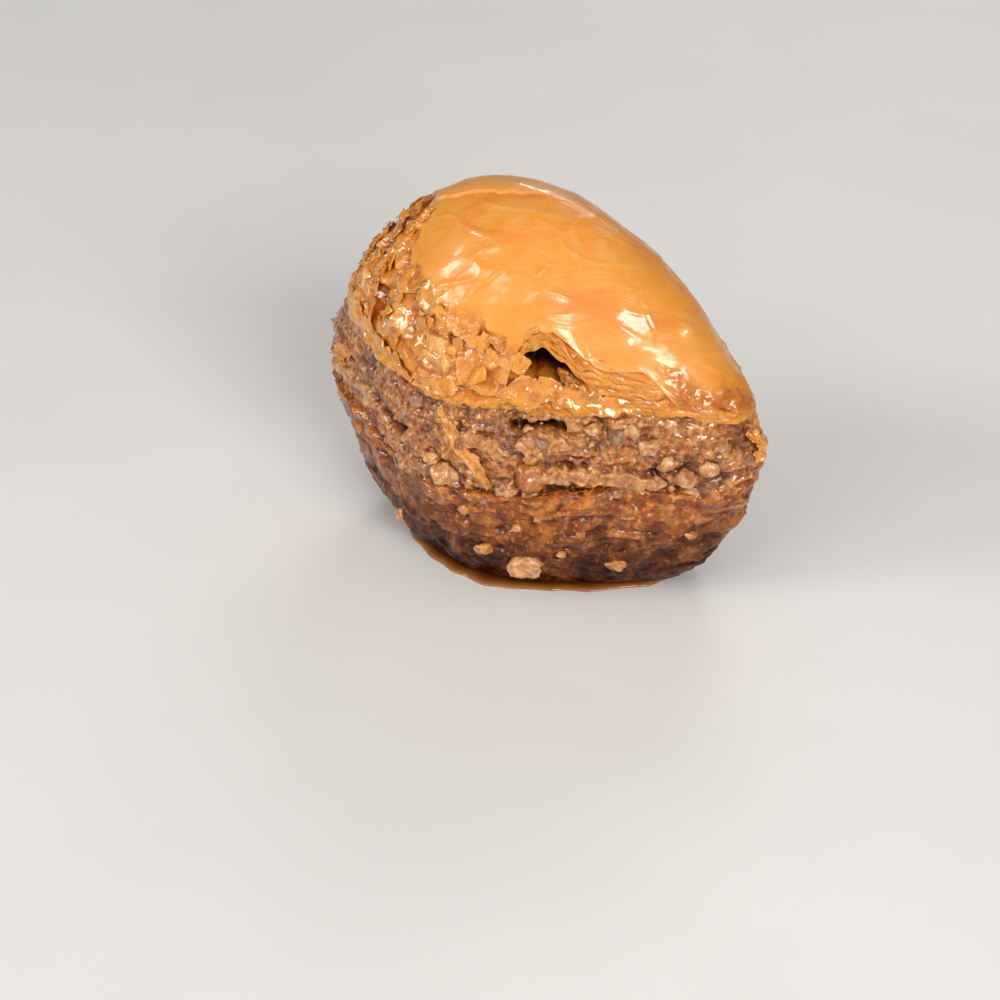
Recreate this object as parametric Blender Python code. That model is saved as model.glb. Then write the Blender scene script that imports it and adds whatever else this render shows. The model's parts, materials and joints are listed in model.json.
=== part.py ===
"""A puffed diamond-cut piece of walnut baklava, in three solids that lie on one another:
the syrup-soaked base leaves, the chopped-walnut filling, and the domed crust of filo leaves.

The piece stands on its base on the plane z = 0, with +Z up. The origin is the middle of its
box on that plane. The broad cut face looks along -Y, and the sharp corners point to +X and -X.
Lengths are in metres, directions round the piece in degrees, counted from +X towards +Y.
"""

import math
import random

import bpy
import bmesh
from mathutils import Vector, noise

MM = 0.001

# The diamond that the knife cut, seen from above.
FRONT_EDGE = 44.1 * MM
SIDE_EDGE_BACK = 35.8 * MM
SIDE_EDGE_LEFT = 17.1 * MM
OUTLINE_MIDDLE_X = -0.07 * MM
OUTLINE_MIDDLE_Y = -0.07 * MM

# The side view: a narrow foot, a bulge, and a tall dome that leans a little to the left.
HEIGHT = 49.2 * MM
BULGE_HEIGHT = 21.0 * MM
FOOT_SHARE = 0.58
BELLY_POWER = 0.4
DOME_POWER = 1.88
DOME_LEAN_X = -3.1 * MM
DOME_LEAN_Y = 1.1 * MM
CORNER_POWER_FOOT = 3.06
CORNER_POWER_TOP = 2.6
CORNER_POWER_BULGE = 0.8
BULGE_REACH = 9.0 * MM
LONG_CORNER_STRETCH = 0.05

# What lies where. Each line goes round the piece as (direction, height in mm) stops.
BASE_TOP = ((20, 16.5), (53, 18.2), (100, 16.2), (150, 17.5), (190, 15.0), (233, 14.9), (276, 15.7),
            (303, 17.4), (315, 16.4), (331, 19.0))
FILLING_TOP = ((20, 26.6), (53, 25.8), (100, 27.6), (150, 29.6), (190, 26.9), (233, 26.7), (272, 27.8),
               (305, 27.2), (331, 25.4))
SKIN_EDGE = ((12, 35.6), (35, 34.4), (53, 29.6), (74, 34.6), (100, 37.5), (125, 42.5), (148, 45.9),
             (166, 45.2), (187, 40.5), (217, 38.7), (238, 37.2), (262, 35.4), (278, 37.6), (298, 33.6),
             (312, 34.6), (322, 32.0), (332, 28.6), (346, 31.5))
TORN_SIDE = ((100, 0.0), (140, 1.0), (200, 1.0), (240, 0.55), (275, 0.12), (320, 0.0))
LAYER_GAP = 0.3 * MM

# The crust's leaves end in steps, one above the other, and one step is lifted off the next.
LEAF_STEPS = 7
LIFTED_STEP = 4
STEP_DEPTH = 0.75 * MM
STEP_LIP = 0.2 * MM
LEAST_STEP = 0.45 * MM
RAGGED = 0.45 * MM
RAGGED_TORN = 1.7 * MM
TORN_RECESS = 1.5 * MM
TORN_REACH = 5.0 * MM
LEAF_WAVES = 0.3 * MM
LIFT_DIRECTION = 275.0
LIFT_REACH = 19.0
LIFT_HEIGHT = 1.9 * MM
LIFT_DEPTH = 3.2 * MM
SKIN_WAVES = 0.35 * MM

# The filling's side: hollows between lumps, and chopped walnuts fused on.
FILLING_ROWS = 8
FILLING_SET_BACK = 0.6 * MM
HOLLOWS = 1.3 * MM
WALNUT_COUNT = 56
WALNUT_SIZES = (2.6 * MM, 5.2 * MM)
WALNUT_SUNK = 0.3
WALNUT_REACH = 0.6
BASE_CRUMBS = ((261.5, 4.6, 4.4), (242, 6.5, 2.2), (300, 5.2, 2.4), (20, 6.0, 3.2), (95, 7.5, 3.6),
               (190, 5.0, 2.8))

# The base's leaves end in small ledges that run round the piece, closer together near the foot.
BASE_LEAVES = 7
BASE_LEDGE = 0.55 * MM
BASE_LEDGE_HEIGHT = 0.16 * MM
BASE_LEAF_SPREAD = 1.25
BASE_WAVES = 0.5 * MM
FOOT_EASE = 2.0 * MM

# How far the surface between two layers bows at the middle, and where its rings of points lie.
BASE_MIDDLE = 15.6 * MM
FILLING_MIDDLE = 27.0 * MM
INNER_SHARES = (0.86, 0.66, 0.42, 0.2)
FOOT_SHARES = ((0.35, 4), (0.7, 2), (1.0, 1))
DOME_SHARES = ((0.12, 1), (0.26, 1), (0.42, 2), (0.58, 2), (0.73, 4), (0.86, 4), (0.95, 8))

# Points round the piece.
COLUMNS_BASE = 76
COLUMNS_FILLING = 120
COLUMNS_CRUST = 128
FEWEST_COLUMNS = 12
SHARP_EDGE = 35.0


def clear_scene():
    for thing in list(bpy.data.objects):
        bpy.data.objects.remove(thing)


def around(stops, degrees):
    """The value of a line of (direction, value) stops at one direction, with smooth joins."""
    degrees %= 360.0
    for (start, low), (end, high) in zip(stops, stops[1:] + stops[:1]):
        span = (end - start) % 360.0
        past = (degrees - start) % 360.0
        if past <= span:
            share = past / span
            share = share * share * (3.0 - 2.0 * share)
            return low + (high - low) * share
    return stops[0][1]


def smooth_step(value):
    value = min(max(value, 0.0), 1.0)
    return value * value * (3.0 - 2.0 * value)


def wobble(degrees, height, scale, seed):
    """Noise from -1 to 1 over the piece's side, with features of about the given size."""
    angle = math.radians(degrees)
    reach = 22.0 * MM
    place = Vector((reach * math.cos(angle), reach * math.sin(angle), height)) / scale
    return noise.noise(place + Vector((seed * 7.31, seed * 3.17, seed * 5.73)))


def side_share(height):
    """How wide the piece is at a height, as a share of its widest."""
    if height < BULGE_HEIGHT:
        drop = (BULGE_HEIGHT - height) / BULGE_HEIGHT
        return FOOT_SHARE + (1.0 - FOOT_SHARE) * max(1.0 - drop * drop, 0.0) ** BELLY_POWER
    rise = min((height - BULGE_HEIGHT) / (HEIGHT - BULGE_HEIGHT), 1.0)
    return (1.0 - rise ** DOME_POWER) ** (1.0 / DOME_POWER)


def outline_radius(degrees, height):
    """Distance from the middle to the rounded diamond's edge, full width, at a height."""
    across = math.cos(math.radians(degrees))
    deep = math.sin(math.radians(degrees))
    back = deep / (SIDE_EDGE_BACK / 2.0)
    right = (across + back * SIDE_EDGE_LEFT / 2.0) / (FRONT_EDGE / 2.0)
    near_bulge = math.exp(-(((height - BULGE_HEIGHT) / BULGE_REACH) ** 2))
    rise = height / HEIGHT
    power = CORNER_POWER_FOOT + (CORNER_POWER_TOP - CORNER_POWER_FOOT) * rise
    power += CORNER_POWER_BULGE * near_bulge
    radius = (abs(right) ** power + abs(back) ** power) ** (-1.0 / power)
    long_corner = max(-2.0 * right * back / (right * right + back * back), 0.0)
    return radius * (1.0 + LONG_CORNER_STRETCH * near_bulge * long_corner ** 3)


def middle_at(height):
    """The middle of the outline at a height, which leans with the dome."""
    rise = max(height - BULGE_HEIGHT, 0.0) / (HEIGHT - BULGE_HEIGHT)
    lean = rise ** 1.5
    return OUTLINE_MIDDLE_X + DOME_LEAN_X * lean, OUTLINE_MIDDLE_Y + DOME_LEAN_Y * lean


def side_point(degrees, height, relief=0.0, share=1.0):
    """A point of the piece's side, moved outwards by relief, or a share of the way out to it."""
    radius = (outline_radius(degrees, height) * side_share(height) + relief) * share
    middle_x, middle_y = middle_at(height)
    angle = math.radians(degrees)
    return Vector((middle_x + radius * math.cos(angle), middle_y + radius * math.sin(angle), height))


def directions(count):
    return [360.0 * step / count for step in range(count)]


def add_ring(mesh, points):
    return [mesh.verts.new(point) for point in points]


def join_rings(mesh, lower, upper):
    """Faces between two rings, where one may have half as many points as the other."""
    if len(lower) == len(upper):
        for here in range(len(lower)):
            there = (here + 1) % len(lower)
            mesh.faces.new((lower[here], lower[there], upper[there], upper[here]))
        return
    fine, coarse, flip = (lower, upper, False) if len(lower) > len(upper) else (upper, lower, True)
    for here in range(len(coarse)):
        there = (here + 1) % len(coarse)
        start, middle, end = fine[2 * here], fine[2 * here + 1], fine[(2 * here + 2) % len(fine)]
        for corners in ((start, middle, coarse[here]), (middle, coarse[there], coarse[here]),
                        (middle, end, coarse[there])):
            mesh.faces.new(corners[::-1] if flip else corners)


def join_to_point(mesh, ring, point, upwards):
    tip = mesh.verts.new(point)
    for here in range(len(ring)):
        there = (here + 1) % len(ring)
        corners = (ring[here], ring[there], tip)
        mesh.faces.new(corners if upwards else corners[::-1])


def layer_height(stops, middle_height, degrees, share):
    """Height of the surface between two layers, which bows from its edge to its middle."""
    edge = around(stops, degrees) * MM
    return middle_height + (edge - middle_height) * share * share


def cap_rings(mesh, edge_ring, stops, middle_height, offset, upwards, edge_count):
    """A layer surface from its edge ring in to its middle, with fewer points towards it."""
    before = edge_ring
    count = edge_count
    for order, share in enumerate(INNER_SHARES):
        if order and count % 2 == 0 and count // 2 >= FEWEST_COLUMNS:
            count //= 2
        points = []
        for degrees in directions(count):
            height = layer_height(stops, middle_height, degrees, share) + offset
            edge_height = around(stops, degrees) * MM
            point = side_point(degrees, edge_height, share=share)
            point.z = height
            points.append(point)
        ring = add_ring(mesh, points)
        if upwards:
            join_rings(mesh, before, ring)
        else:
            join_rings(mesh, ring, before)
        before = ring
    middle_x, middle_y = middle_at(middle_height)
    join_to_point(mesh, before, Vector((middle_x, middle_y, middle_height + offset)), upwards)


def material(name, colour, roughness):
    made = bpy.data.materials.new(name)
    made.use_nodes = True
    shader = made.node_tree.nodes["Principled BSDF"]
    shader.inputs["Base Color"].default_value = (*colour, 1.0)
    shader.inputs["Roughness"].default_value = roughness
    shader.inputs["Metallic"].default_value = 0.0
    return made


def finish_solid(name, mesh, surface):
    data = bpy.data.meshes.new(name)
    mesh.to_mesh(data)
    mesh.free()
    data.materials.append(surface)
    data.shade_smooth()
    data.set_sharp_from_angle(angle=math.radians(SHARP_EDGE))
    made = bpy.data.objects.new(name, data)
    bpy.context.scene.collection.objects.link(made)
    return made


def walnut(name, place, size, seed):
    """A chopped bit of walnut: a lump with uneven sides."""
    lump = bmesh.new()
    bmesh.ops.create_icosphere(lump, subdivisions=1, radius=0.5)
    draw = random.Random(seed)
    stretch = Vector((draw.uniform(0.8, 1.25), draw.uniform(0.7, 1.0), draw.uniform(0.65, 0.95)))
    turn = Vector((draw.random(), draw.random(), draw.random())).to_track_quat("Z", "Y")
    for vertex in lump.verts:
        dent = 1.0 + 0.22 * noise.noise(vertex.co * 3.1 + Vector((seed, 0.0, 0.0)))
        vertex.co = turn @ (vertex.co * stretch) * (size * dent) + place
    data = bpy.data.meshes.new(name)
    lump.to_mesh(data)
    lump.free()
    return bpy.data.objects.new(name, data)


def fuse(body, lumps):
    """Joins the lumps to the body as one solid, and removes them."""
    group = bpy.data.collections.new(body.name + "_lumps")
    bpy.context.scene.collection.children.link(group)
    for lump in lumps:
        group.objects.link(lump)
    union = body.modifiers.new("fused_lumps", "BOOLEAN")
    union.operation = "UNION"
    union.operand_type = "COLLECTION"
    union.collection = group
    union.solver = "EXACT"
    bpy.context.view_layer.update()
    evaluated = body.evaluated_get(bpy.context.evaluated_depsgraph_get())
    joined = bpy.data.meshes.new_from_object(evaluated)
    body.modifiers.clear()
    body.data = joined
    for lump in list(group.objects):
        bpy.data.objects.remove(lump)
    bpy.data.collections.remove(group)


def base_leaf_rings(step):
    """The upper edge of one base leaf, and the foot of the next leaf, set back behind it."""
    edge, next_foot = [], []
    rise = step / BASE_LEAVES
    for degrees in directions(COLUMNS_BASE):
        top = around(BASE_TOP, degrees) * MM - LAYER_GAP / 2.0
        height = (top - BASE_LEDGE_HEIGHT) * rise ** BASE_LEAF_SPREAD
        height += BASE_WAVES * wobble(degrees, 0.0, 9.0 * MM, 3 + step) * math.sin(math.pi * rise)
        ease = smooth_step(height / FOOT_EASE)
        waves = BASE_WAVES * wobble(degrees, height, 8.0 * MM, 12)
        ledge = BASE_LEDGE * (0.7 + 0.5 * wobble(degrees, height, 6.0 * MM, 11))
        edge.append(side_point(degrees, height, ease * waves))
        next_foot.append(side_point(degrees, height + BASE_LEDGE_HEIGHT, ease * (waves - ledge)))
    return edge, next_foot


def build_base():
    """The base leaves: a flat foot, a belly of soaked leaves with ledges, and walnut bits on it."""
    mesh = bmesh.new()
    count = COLUMNS_BASE
    foot_middle_x, foot_middle_y = middle_at(0.0)
    rings = []
    for share, fewer in FOOT_SHARES:
        points = [side_point(degrees, 0.0, share=share) for degrees in directions(count // fewer)]
        rings.append(add_ring(mesh, points))
    join_to_point(mesh, rings[0], Vector((foot_middle_x, foot_middle_y, 0.0)), upwards=False)
    for step in range(1, BASE_LEAVES + 1):
        for points in base_leaf_rings(step):
            rings.append(add_ring(mesh, points))
    for lower, upper in zip(rings, rings[1:]):
        join_rings(mesh, lower, upper)
    cap_rings(mesh, rings[-1], BASE_TOP, BASE_MIDDLE, -LAYER_GAP / 2.0, True, count)
    base = finish_solid("base_leaves", mesh, material("soaked_filo", (0.20, 0.065, 0.015), 0.3))
    lumps = []
    for order, (degrees, height, size) in enumerate(BASE_CRUMBS):
        place = side_point(degrees, height * MM, relief=-0.12 * size * MM)
        lumps.append(walnut(f"base_crumb_{order}", place, size * MM, 40 + order))
    fuse(base, lumps)
    return base


def build_filling():
    """The walnut filling, which runs through the piece and shows all round between the leaves."""
    mesh = bmesh.new()
    count = COLUMNS_FILLING
    rings = []
    for step in range(FILLING_ROWS + 1):
        points = []
        for degrees in directions(count):
            low = around(BASE_TOP, degrees) * MM + LAYER_GAP / 2.0
            high = around(FILLING_TOP, degrees) * MM - LAYER_GAP / 2.0
            rise = step / FILLING_ROWS
            height = low + (high - low) * rise
            relief = HOLLOWS * wobble(degrees, height * 1.4, 4.2 * MM, 21)
            relief += 0.5 * HOLLOWS * wobble(degrees, height, 2.1 * MM, 22)
            relief -= FILLING_SET_BACK
            points.append(side_point(degrees, height, relief))
        rings.append(add_ring(mesh, points))
    cap_rings(mesh, rings[0], BASE_TOP, BASE_MIDDLE, LAYER_GAP / 2.0, False, count)
    for lower, upper in zip(rings, rings[1:]):
        join_rings(mesh, lower, upper)
    cap_rings(mesh, rings[-1], FILLING_TOP, FILLING_MIDDLE, -LAYER_GAP / 2.0, True, count)
    filling = finish_solid("walnut_filling", mesh, material("walnut_paste", (0.36, 0.17, 0.07), 0.45))
    draw = random.Random(5)
    lumps = []
    for order in range(WALNUT_COUNT):
        degrees = (order + draw.uniform(0.1, 0.9)) * 360.0 / WALNUT_COUNT
        size = draw.uniform(*WALNUT_SIZES)
        low = around(BASE_TOP, degrees) * MM + LAYER_GAP + WALNUT_REACH * size
        high = around(FILLING_TOP, degrees) * MM - LAYER_GAP - WALNUT_REACH * size
        place = side_point(degrees, draw.uniform(low, high), relief=-WALNUT_SUNK * size)
        lumps.append(walnut(f"walnut_{order}", place, size, 60 + order))
    fuse(filling, lumps)
    return filling


def step_heights(degrees):
    """Heights of the leaves' edges at one direction, from the outer skin down to the filling."""
    skin = around(SKIN_EDGE, degrees) * MM
    bottom = around(FILLING_TOP, degrees) * MM + LAYER_GAP / 2.0
    torn = around(TORN_SIDE, degrees)
    ragged = RAGGED + (RAGGED_TORN - RAGGED) * torn
    lift = smooth_step(1.0 - abs(degrees - LIFT_DIRECTION) / LIFT_REACH)
    heights = []
    for step in range(LEAF_STEPS):
        share = step / LEAF_STEPS
        height = skin + (bottom - skin) * share
        height += ragged * wobble(degrees, step * 9.0 * MM, 3.4 * MM, 31)
        height += 0.5 * ragged * wobble(degrees, step * 9.0 * MM, 1.5 * MM, 32)
        if 0 < step <= LIFTED_STEP:
            height += LIFT_HEIGHT * lift * step / LIFTED_STEP
        if heights:
            height = min(height, heights[-1] - LEAST_STEP)
        heights.append(max(height, bottom + LEAST_STEP * (LEAF_STEPS - step)))
    return heights


def build_crust():
    """The crust: a smooth puffed skin over leaves whose cut and torn edges step down the side."""
    mesh = bmesh.new()
    count = COLUMNS_CRUST
    heights = [step_heights(degrees) for degrees in directions(count)]
    bottom_ring = []
    for degrees in directions(count):
        bottom = around(FILLING_TOP, degrees) * MM + LAYER_GAP / 2.0
        bottom_ring.append(side_point(degrees, bottom, relief=-0.5 * STEP_DEPTH))
    rings = [add_ring(mesh, bottom_ring)]
    cap_rings(mesh, rings[0], FILLING_TOP, FILLING_MIDDLE, LAYER_GAP / 2.0, False, count)
    for step in reversed(range(LEAF_STEPS)):
        under, edge = [], []
        for degrees, steps in zip(directions(count), heights):
            torn = around(TORN_SIDE, degrees)
            below_skin = steps[0] - steps[step]
            sunk = TORN_RECESS * torn * math.exp(-below_skin / TORN_REACH) if step else 0.0
            lift = smooth_step(1.0 - abs(degrees - LIFT_DIRECTION) / LIFT_REACH)
            inwards = STEP_DEPTH * (0.7 + 0.3 * wobble(degrees, step * MM * 5.0, 5.0 * MM, 33)) + sunk
            if step == LIFTED_STEP:
                inwards += LIFT_DEPTH * lift
            if step == 0:
                inwards += TORN_RECESS * torn
            waves = LEAF_WAVES * wobble(degrees, steps[step], 4.0 * MM, 34) if step else 0.0
            under.append(side_point(degrees, steps[step] - STEP_LIP, waves - inwards))
            edge.append(side_point(degrees, steps[step], waves - sunk))
        rings.append(add_ring(mesh, under))
        rings.append(add_ring(mesh, edge))
    for share, fewer in DOME_SHARES:
        points = []
        for degrees in directions(count // fewer):
            skin = step_heights(degrees)[0]
            angle = math.asin((skin - BULGE_HEIGHT) / (HEIGHT - BULGE_HEIGHT))
            angle += (math.pi / 2.0 - angle) * share
            height = BULGE_HEIGHT + (HEIGHT - BULGE_HEIGHT) * math.sin(angle)
            relief = SKIN_WAVES * wobble(degrees, height, 9.0 * MM, 35) * (1.0 - share)
            points.append(side_point(degrees, height, relief))
        rings.append(add_ring(mesh, points))
    for lower, upper in zip(rings, rings[1:]):
        join_rings(mesh, lower, upper)
    top_x, top_y = middle_at(HEIGHT)
    join_to_point(mesh, rings[-1], Vector((top_x, top_y, HEIGHT)), upwards=True)
    return finish_solid("filo_crust", mesh, material("baked_filo", (0.72, 0.30, 0.06), 0.25))


clear_scene()
build_base()
build_filling()
build_crust()
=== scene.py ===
"""A piece of walnut baklava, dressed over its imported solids.

Lengths are in metres. Directions round the piece are in degrees, counted from +X towards +Y, and
heights are above the plane that the piece rests on, as in the solids.
"""

import json
import math
import random

import bmesh
import bpy
import numpy as np
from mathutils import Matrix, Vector, noise

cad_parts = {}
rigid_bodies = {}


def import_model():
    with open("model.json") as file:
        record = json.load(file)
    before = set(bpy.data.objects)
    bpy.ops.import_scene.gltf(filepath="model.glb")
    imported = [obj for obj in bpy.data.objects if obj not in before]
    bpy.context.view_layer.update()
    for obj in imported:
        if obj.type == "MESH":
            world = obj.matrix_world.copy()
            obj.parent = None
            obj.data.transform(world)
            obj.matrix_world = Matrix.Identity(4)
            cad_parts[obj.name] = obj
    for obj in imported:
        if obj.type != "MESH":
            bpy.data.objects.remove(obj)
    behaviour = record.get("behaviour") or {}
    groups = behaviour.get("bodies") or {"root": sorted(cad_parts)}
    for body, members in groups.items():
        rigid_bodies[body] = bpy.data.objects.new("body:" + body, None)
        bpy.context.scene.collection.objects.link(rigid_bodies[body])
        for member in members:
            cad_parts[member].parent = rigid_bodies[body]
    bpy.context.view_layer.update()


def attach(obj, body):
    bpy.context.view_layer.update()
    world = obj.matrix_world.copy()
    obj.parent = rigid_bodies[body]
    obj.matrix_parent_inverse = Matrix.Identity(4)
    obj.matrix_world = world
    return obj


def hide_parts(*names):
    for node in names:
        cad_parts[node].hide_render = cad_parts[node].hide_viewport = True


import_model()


# The base leaves: a stack of filo at the bottom of the tray, which drank most of the syrup.
# They are pressed together into one wet belly, dark with syrup and painted shade near the foot,
# where the leaves' edges show as fine uneven ledges, and the piece stands on their narrow underside.

MM = 0.001
HEIGHT = 49.2 * MM
BULGE_HEIGHT = 21.0 * MM
HALF_LENGTH = 22.05 * MM
HALF_DEPTH = 17.9 * MM
SLANT = 8.55 * MM
MIDDLE = -0.07 * MM
LEAN_LEFT = 3.1 * MM
LEAN_BACK = 1.1 * MM
DOME_POWER = 1.88
BASE_TOP = ((20, 16.5), (53, 18.2), (100, 16.2), (150, 17.5), (190, 15.0), (233, 14.9), (276, 15.7),
            (303, 17.4), (315, 16.4), (331, 19.0))


def around(stops, degrees):
    """The values of a line of (direction, value) stops at some directions, with smooth joins."""
    places = np.array([stop[0] for stop in stops], float)
    values = np.array([stop[1] for stop in stops], float)
    degrees = np.asarray(degrees, float) % 360.0
    start = (np.searchsorted(places, degrees, side="right") - 1) % len(stops)
    end = (start + 1) % len(stops)
    share = ((degrees - places[start]) % 360.0) / ((places[end] - places[start]) % 360.0)
    share = share * share * (3.0 - 2.0 * share)
    return values[start] + (values[end] - values[start]) * share


def eased(value):
    """A smooth rise from 0 to 1 while the value goes from 0 to 1."""
    value = np.clip(value, 0.0, 1.0)
    return value * value * (3.0 - 2.0 * value)


def outline_radius(degrees, heights):
    """Distance from the middle to the rounded diamond's edge, before the side view narrows it."""
    across = np.cos(np.radians(degrees))
    deep = np.sin(np.radians(degrees))
    back = deep / HALF_DEPTH
    right = (across + back * SLANT) / HALF_LENGTH
    near_bulge = np.exp(-(((heights - BULGE_HEIGHT) / (9.0 * MM)) ** 2))
    power = 3.06 - 0.46 * heights / HEIGHT + 0.8 * near_bulge
    radius = (np.abs(right) ** power + np.abs(back) ** power) ** (-1.0 / power)
    long_corner = np.maximum(-2.0 * right * back / (right * right + back * back), 0.0)
    return radius * (1.0 + 0.05 * near_bulge * long_corner ** 3)


def side_share(heights):
    """How wide the piece is at a height, as a share of its widest."""
    drop = np.clip((BULGE_HEIGHT - heights) / BULGE_HEIGHT, 0.0, 1.0)
    rise = np.clip((heights - BULGE_HEIGHT) / (HEIGHT - BULGE_HEIGHT), 0.0, 1.0)
    below = 0.58 + 0.42 * np.maximum(1.0 - drop * drop, 0.0) ** 0.4
    above = np.maximum(1.0 - rise ** DOME_POWER, 0.0) ** (1.0 / DOME_POWER)
    return np.where(heights < BULGE_HEIGHT, below, above)


def side(degrees, heights, relief=0.0, share=1.0):
    """Points of the piece's side, moved outwards by relief, or a share of the way out to it."""
    heights = np.asarray(heights, float) + np.zeros_like(np.asarray(degrees, float))
    radius = (outline_radius(degrees, heights) * side_share(heights) + relief) * share
    lean = np.clip((heights - BULGE_HEIGHT) / (HEIGHT - BULGE_HEIGHT), 0.0, 1.0) ** 1.5
    angle = np.radians(degrees)
    x = MIDDLE - LEAN_LEFT * lean + radius * np.cos(angle)
    y = MIDDLE + LEAN_BACK * lean + radius * np.sin(angle)
    return np.stack((x, y, heights), -1)


def noise_at(points, scale, seed):
    """Smooth noise from -1 to 1 at some points, with features about scale across."""
    shift = Vector((seed * 7.31, seed * 3.17, seed * 5.73))
    places = (np.asarray(points).reshape(-1, 3) / scale).tolist()
    values = [noise.noise(Vector(place) + shift) for place in places]
    return np.array(values).reshape(np.shape(points)[:-1])


def wobble(degrees, heights, scale, seed):
    """Noise from -1 to 1 round the piece, the same as the solids' edges are cut with."""
    angle = np.radians(degrees)
    heights = heights + np.zeros_like(angle)
    return noise_at(np.stack((22 * MM * np.cos(angle), 22 * MM * np.sin(angle), heights), -1), scale, seed)


def directions(count):
    """Evenly spread directions round the piece."""
    return np.arange(count) * 360.0 / count


def wrapped_mesh(name, rows, below=None, above=None, looped=False):
    """A mesh of rings of points, lowest first, closed by a point below or above or on itself."""
    rings, columns = rows.shape[:2]
    points = rows.reshape(-1, 3).tolist()
    here = np.arange(columns)
    there = (here + 1) % columns
    faces = []
    for ring in range(rings if looped else rings - 1):
        low = ring * columns
        high = (ring + 1) % rings * columns
        faces += np.stack((low + here, low + there, high + there, high + here), -1).tolist()
    for tip, ring, flip in ((below, 0, True), (above, rings - 1, False)):
        if tip is not None:
            points.append(tuple(tip))
            start = ring * columns
            fan = np.stack((start + here, start + there, np.full(columns, len(points) - 1)), -1)
            faces += (fan[:, ::-1] if flip else fan).tolist()
    mesh = bpy.data.meshes.new(name)
    mesh.from_pydata(points, [], faces)
    mesh.shade_smooth()
    return mesh


def placed(mesh, surface):
    """The mesh as an object of the scene, in one material."""
    mesh.materials.clear()
    mesh.materials.append(surface)
    thing = bpy.data.objects.new(mesh.name, mesh)
    bpy.context.scene.collection.objects.link(thing)
    return thing


class Flow:
    """The output of a node. The signs + - * and ** on it add Math nodes."""

    def __init__(self, tree, socket=None):
        self.tree = tree
        self.socket = socket

    def node(self, kind, settings=None, values=None, output=0):
        """Adds a node: its settings first, then the values or links of its sockets."""
        made = self.tree.nodes.new(kind)
        for name, value in (settings or {}).items():
            if name == "stops":
                ramp = made.color_ramp
                while len(ramp.elements) < len(value):
                    ramp.elements.new(0.5)
                for element, (place, colour) in zip(ramp.elements, value):
                    element.position = place
                    element.color = colour
            else:
                setattr(made, name, value)
        for key, value in (values or {}).items():
            match = [s for s in made.inputs if key in (s.identifier, s.name) and s.enabled]
            if isinstance(value, Flow):
                self.tree.links.new(value.socket, match[0])
            else:
                match[0].default_value = value
        if isinstance(output, str):
            found = [s for s in made.outputs if output in (s.identifier, s.name) and s.enabled][0]
        else:
            found = made.outputs[output] if len(made.outputs) else None
        return Flow(self.tree, found)

    def maths(self, operation, first, second):
        return self.node("ShaderNodeMath", {"operation": operation}, {"Value": first, "Value_001": second})

    def vectors(self, operation, other, output="Vector"):
        values = {"Vector": self, "Vector_001": other}
        return self.node("ShaderNodeVectorMath", {"operation": operation}, values, output)

    def __add__(self, other):
        return self.maths("ADD", self, other)

    def __radd__(self, other):
        return self.maths("ADD", other, self)

    def __sub__(self, other):
        return self.maths("SUBTRACT", self, other)

    def __rsub__(self, other):
        return self.maths("SUBTRACT", other, self)

    def __mul__(self, other):
        return self.maths("MULTIPLY", self, other)

    def __rmul__(self, other):
        return self.maths("MULTIPLY", other, self)

    def __pow__(self, other):
        return self.maths("POWER", self, other)

    def between(self, low, high):
        """0 where the value is at low or under it, 1 at high or over it, and smooth between."""
        settings = {"interpolation_type": "SMOOTHSTEP"}
        values = {"Value": self, "From Min": low, "From Max": high}
        return self.node("ShaderNodeMapRange", settings, values)

    def colour(self, low, high):
        """A colour that goes from low to high as the value goes from 0 to 1."""
        values = {"Factor_Float": self, "A_Color": low, "B_Color": high}
        return self.node("ShaderNodeMix", {"data_type": "RGBA"}, values, "Result_Color")

    def ramp(self, *stops):
        """A colour that passes through (place, colour) stops as the value goes from 0 to 1."""
        return self.node("ShaderNodeValToRGB", {"stops": stops}, {"Fac": self}, "Color")

    def tinted(self, tint):
        """This colour multiplied by another."""
        settings = {"data_type": "RGBA", "blend_type": "MULTIPLY"}
        values = {"Factor_Float": 1.0, "A_Color": self, "B_Color": tint}
        return self.node("ShaderNodeMix", settings, values, "Result_Color")


def grain(place, size, detail=2.0, distortion=0.0, roughness=0.5):
    """Noise from about 0.25 to 0.75 whose features are about size across."""
    values = {"Vector": place, "Scale": 1.0 / size, "Detail": detail, "Distortion": distortion,
              "Roughness": roughness}
    return place.node("ShaderNodeTexNoise", None, values, "Fac")


def stretched(place, scale, turn=(0.0, 0.0, 0.0)):
    """The place with its axes turned and scaled, for marks that are longer one way."""
    values = {"Vector": place, "Scale": scale, "Rotation": turn}
    return place.node("ShaderNodeMapping", None, values)


def started(name):
    """A new material's nodes, with the place on the piece as the first."""
    surface = bpy.data.materials.new(name)
    surface.use_nodes = True
    for old in list(surface.node_tree.nodes):
        surface.node_tree.nodes.remove(old)
    return surface, Flow(surface.node_tree).node("ShaderNodeTexCoord", None, None, "Object")


def finished(surface, place, colour, roughness, coat, fixed, bumps):
    """Closes a material: bumps is a list of (height, distance, strength), coarse first."""
    normal = None
    for height, distance, strength in bumps:
        values = {"Height": height, "Distance": distance, "Strength": strength}
        if normal:
            values["Normal"] = normal
        normal = place.node("ShaderNodeBump", None, values)
    values = {"Base Color": colour, "Roughness": roughness, "Coat Weight": coat, "Normal": normal}
    values.update(fixed)
    shader = place.node("ShaderNodeBsdfPrincipled", None, values)
    place.node("ShaderNodeOutputMaterial", None, {"Surface": shader})
    return surface


def own_attribute(mesh, name, values):
    """Stores one number for each point of the mesh, for its material to read."""
    mesh.attributes.new(name, "FLOAT", "POINT").data.foreach_set("value", np.asarray(values, float).ravel())


def own_value(place, name):
    """The number that the mesh stores under a name, for its material."""
    return place.node("ShaderNodeAttribute", {"attribute_name": name}, None, "Fac")


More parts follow.
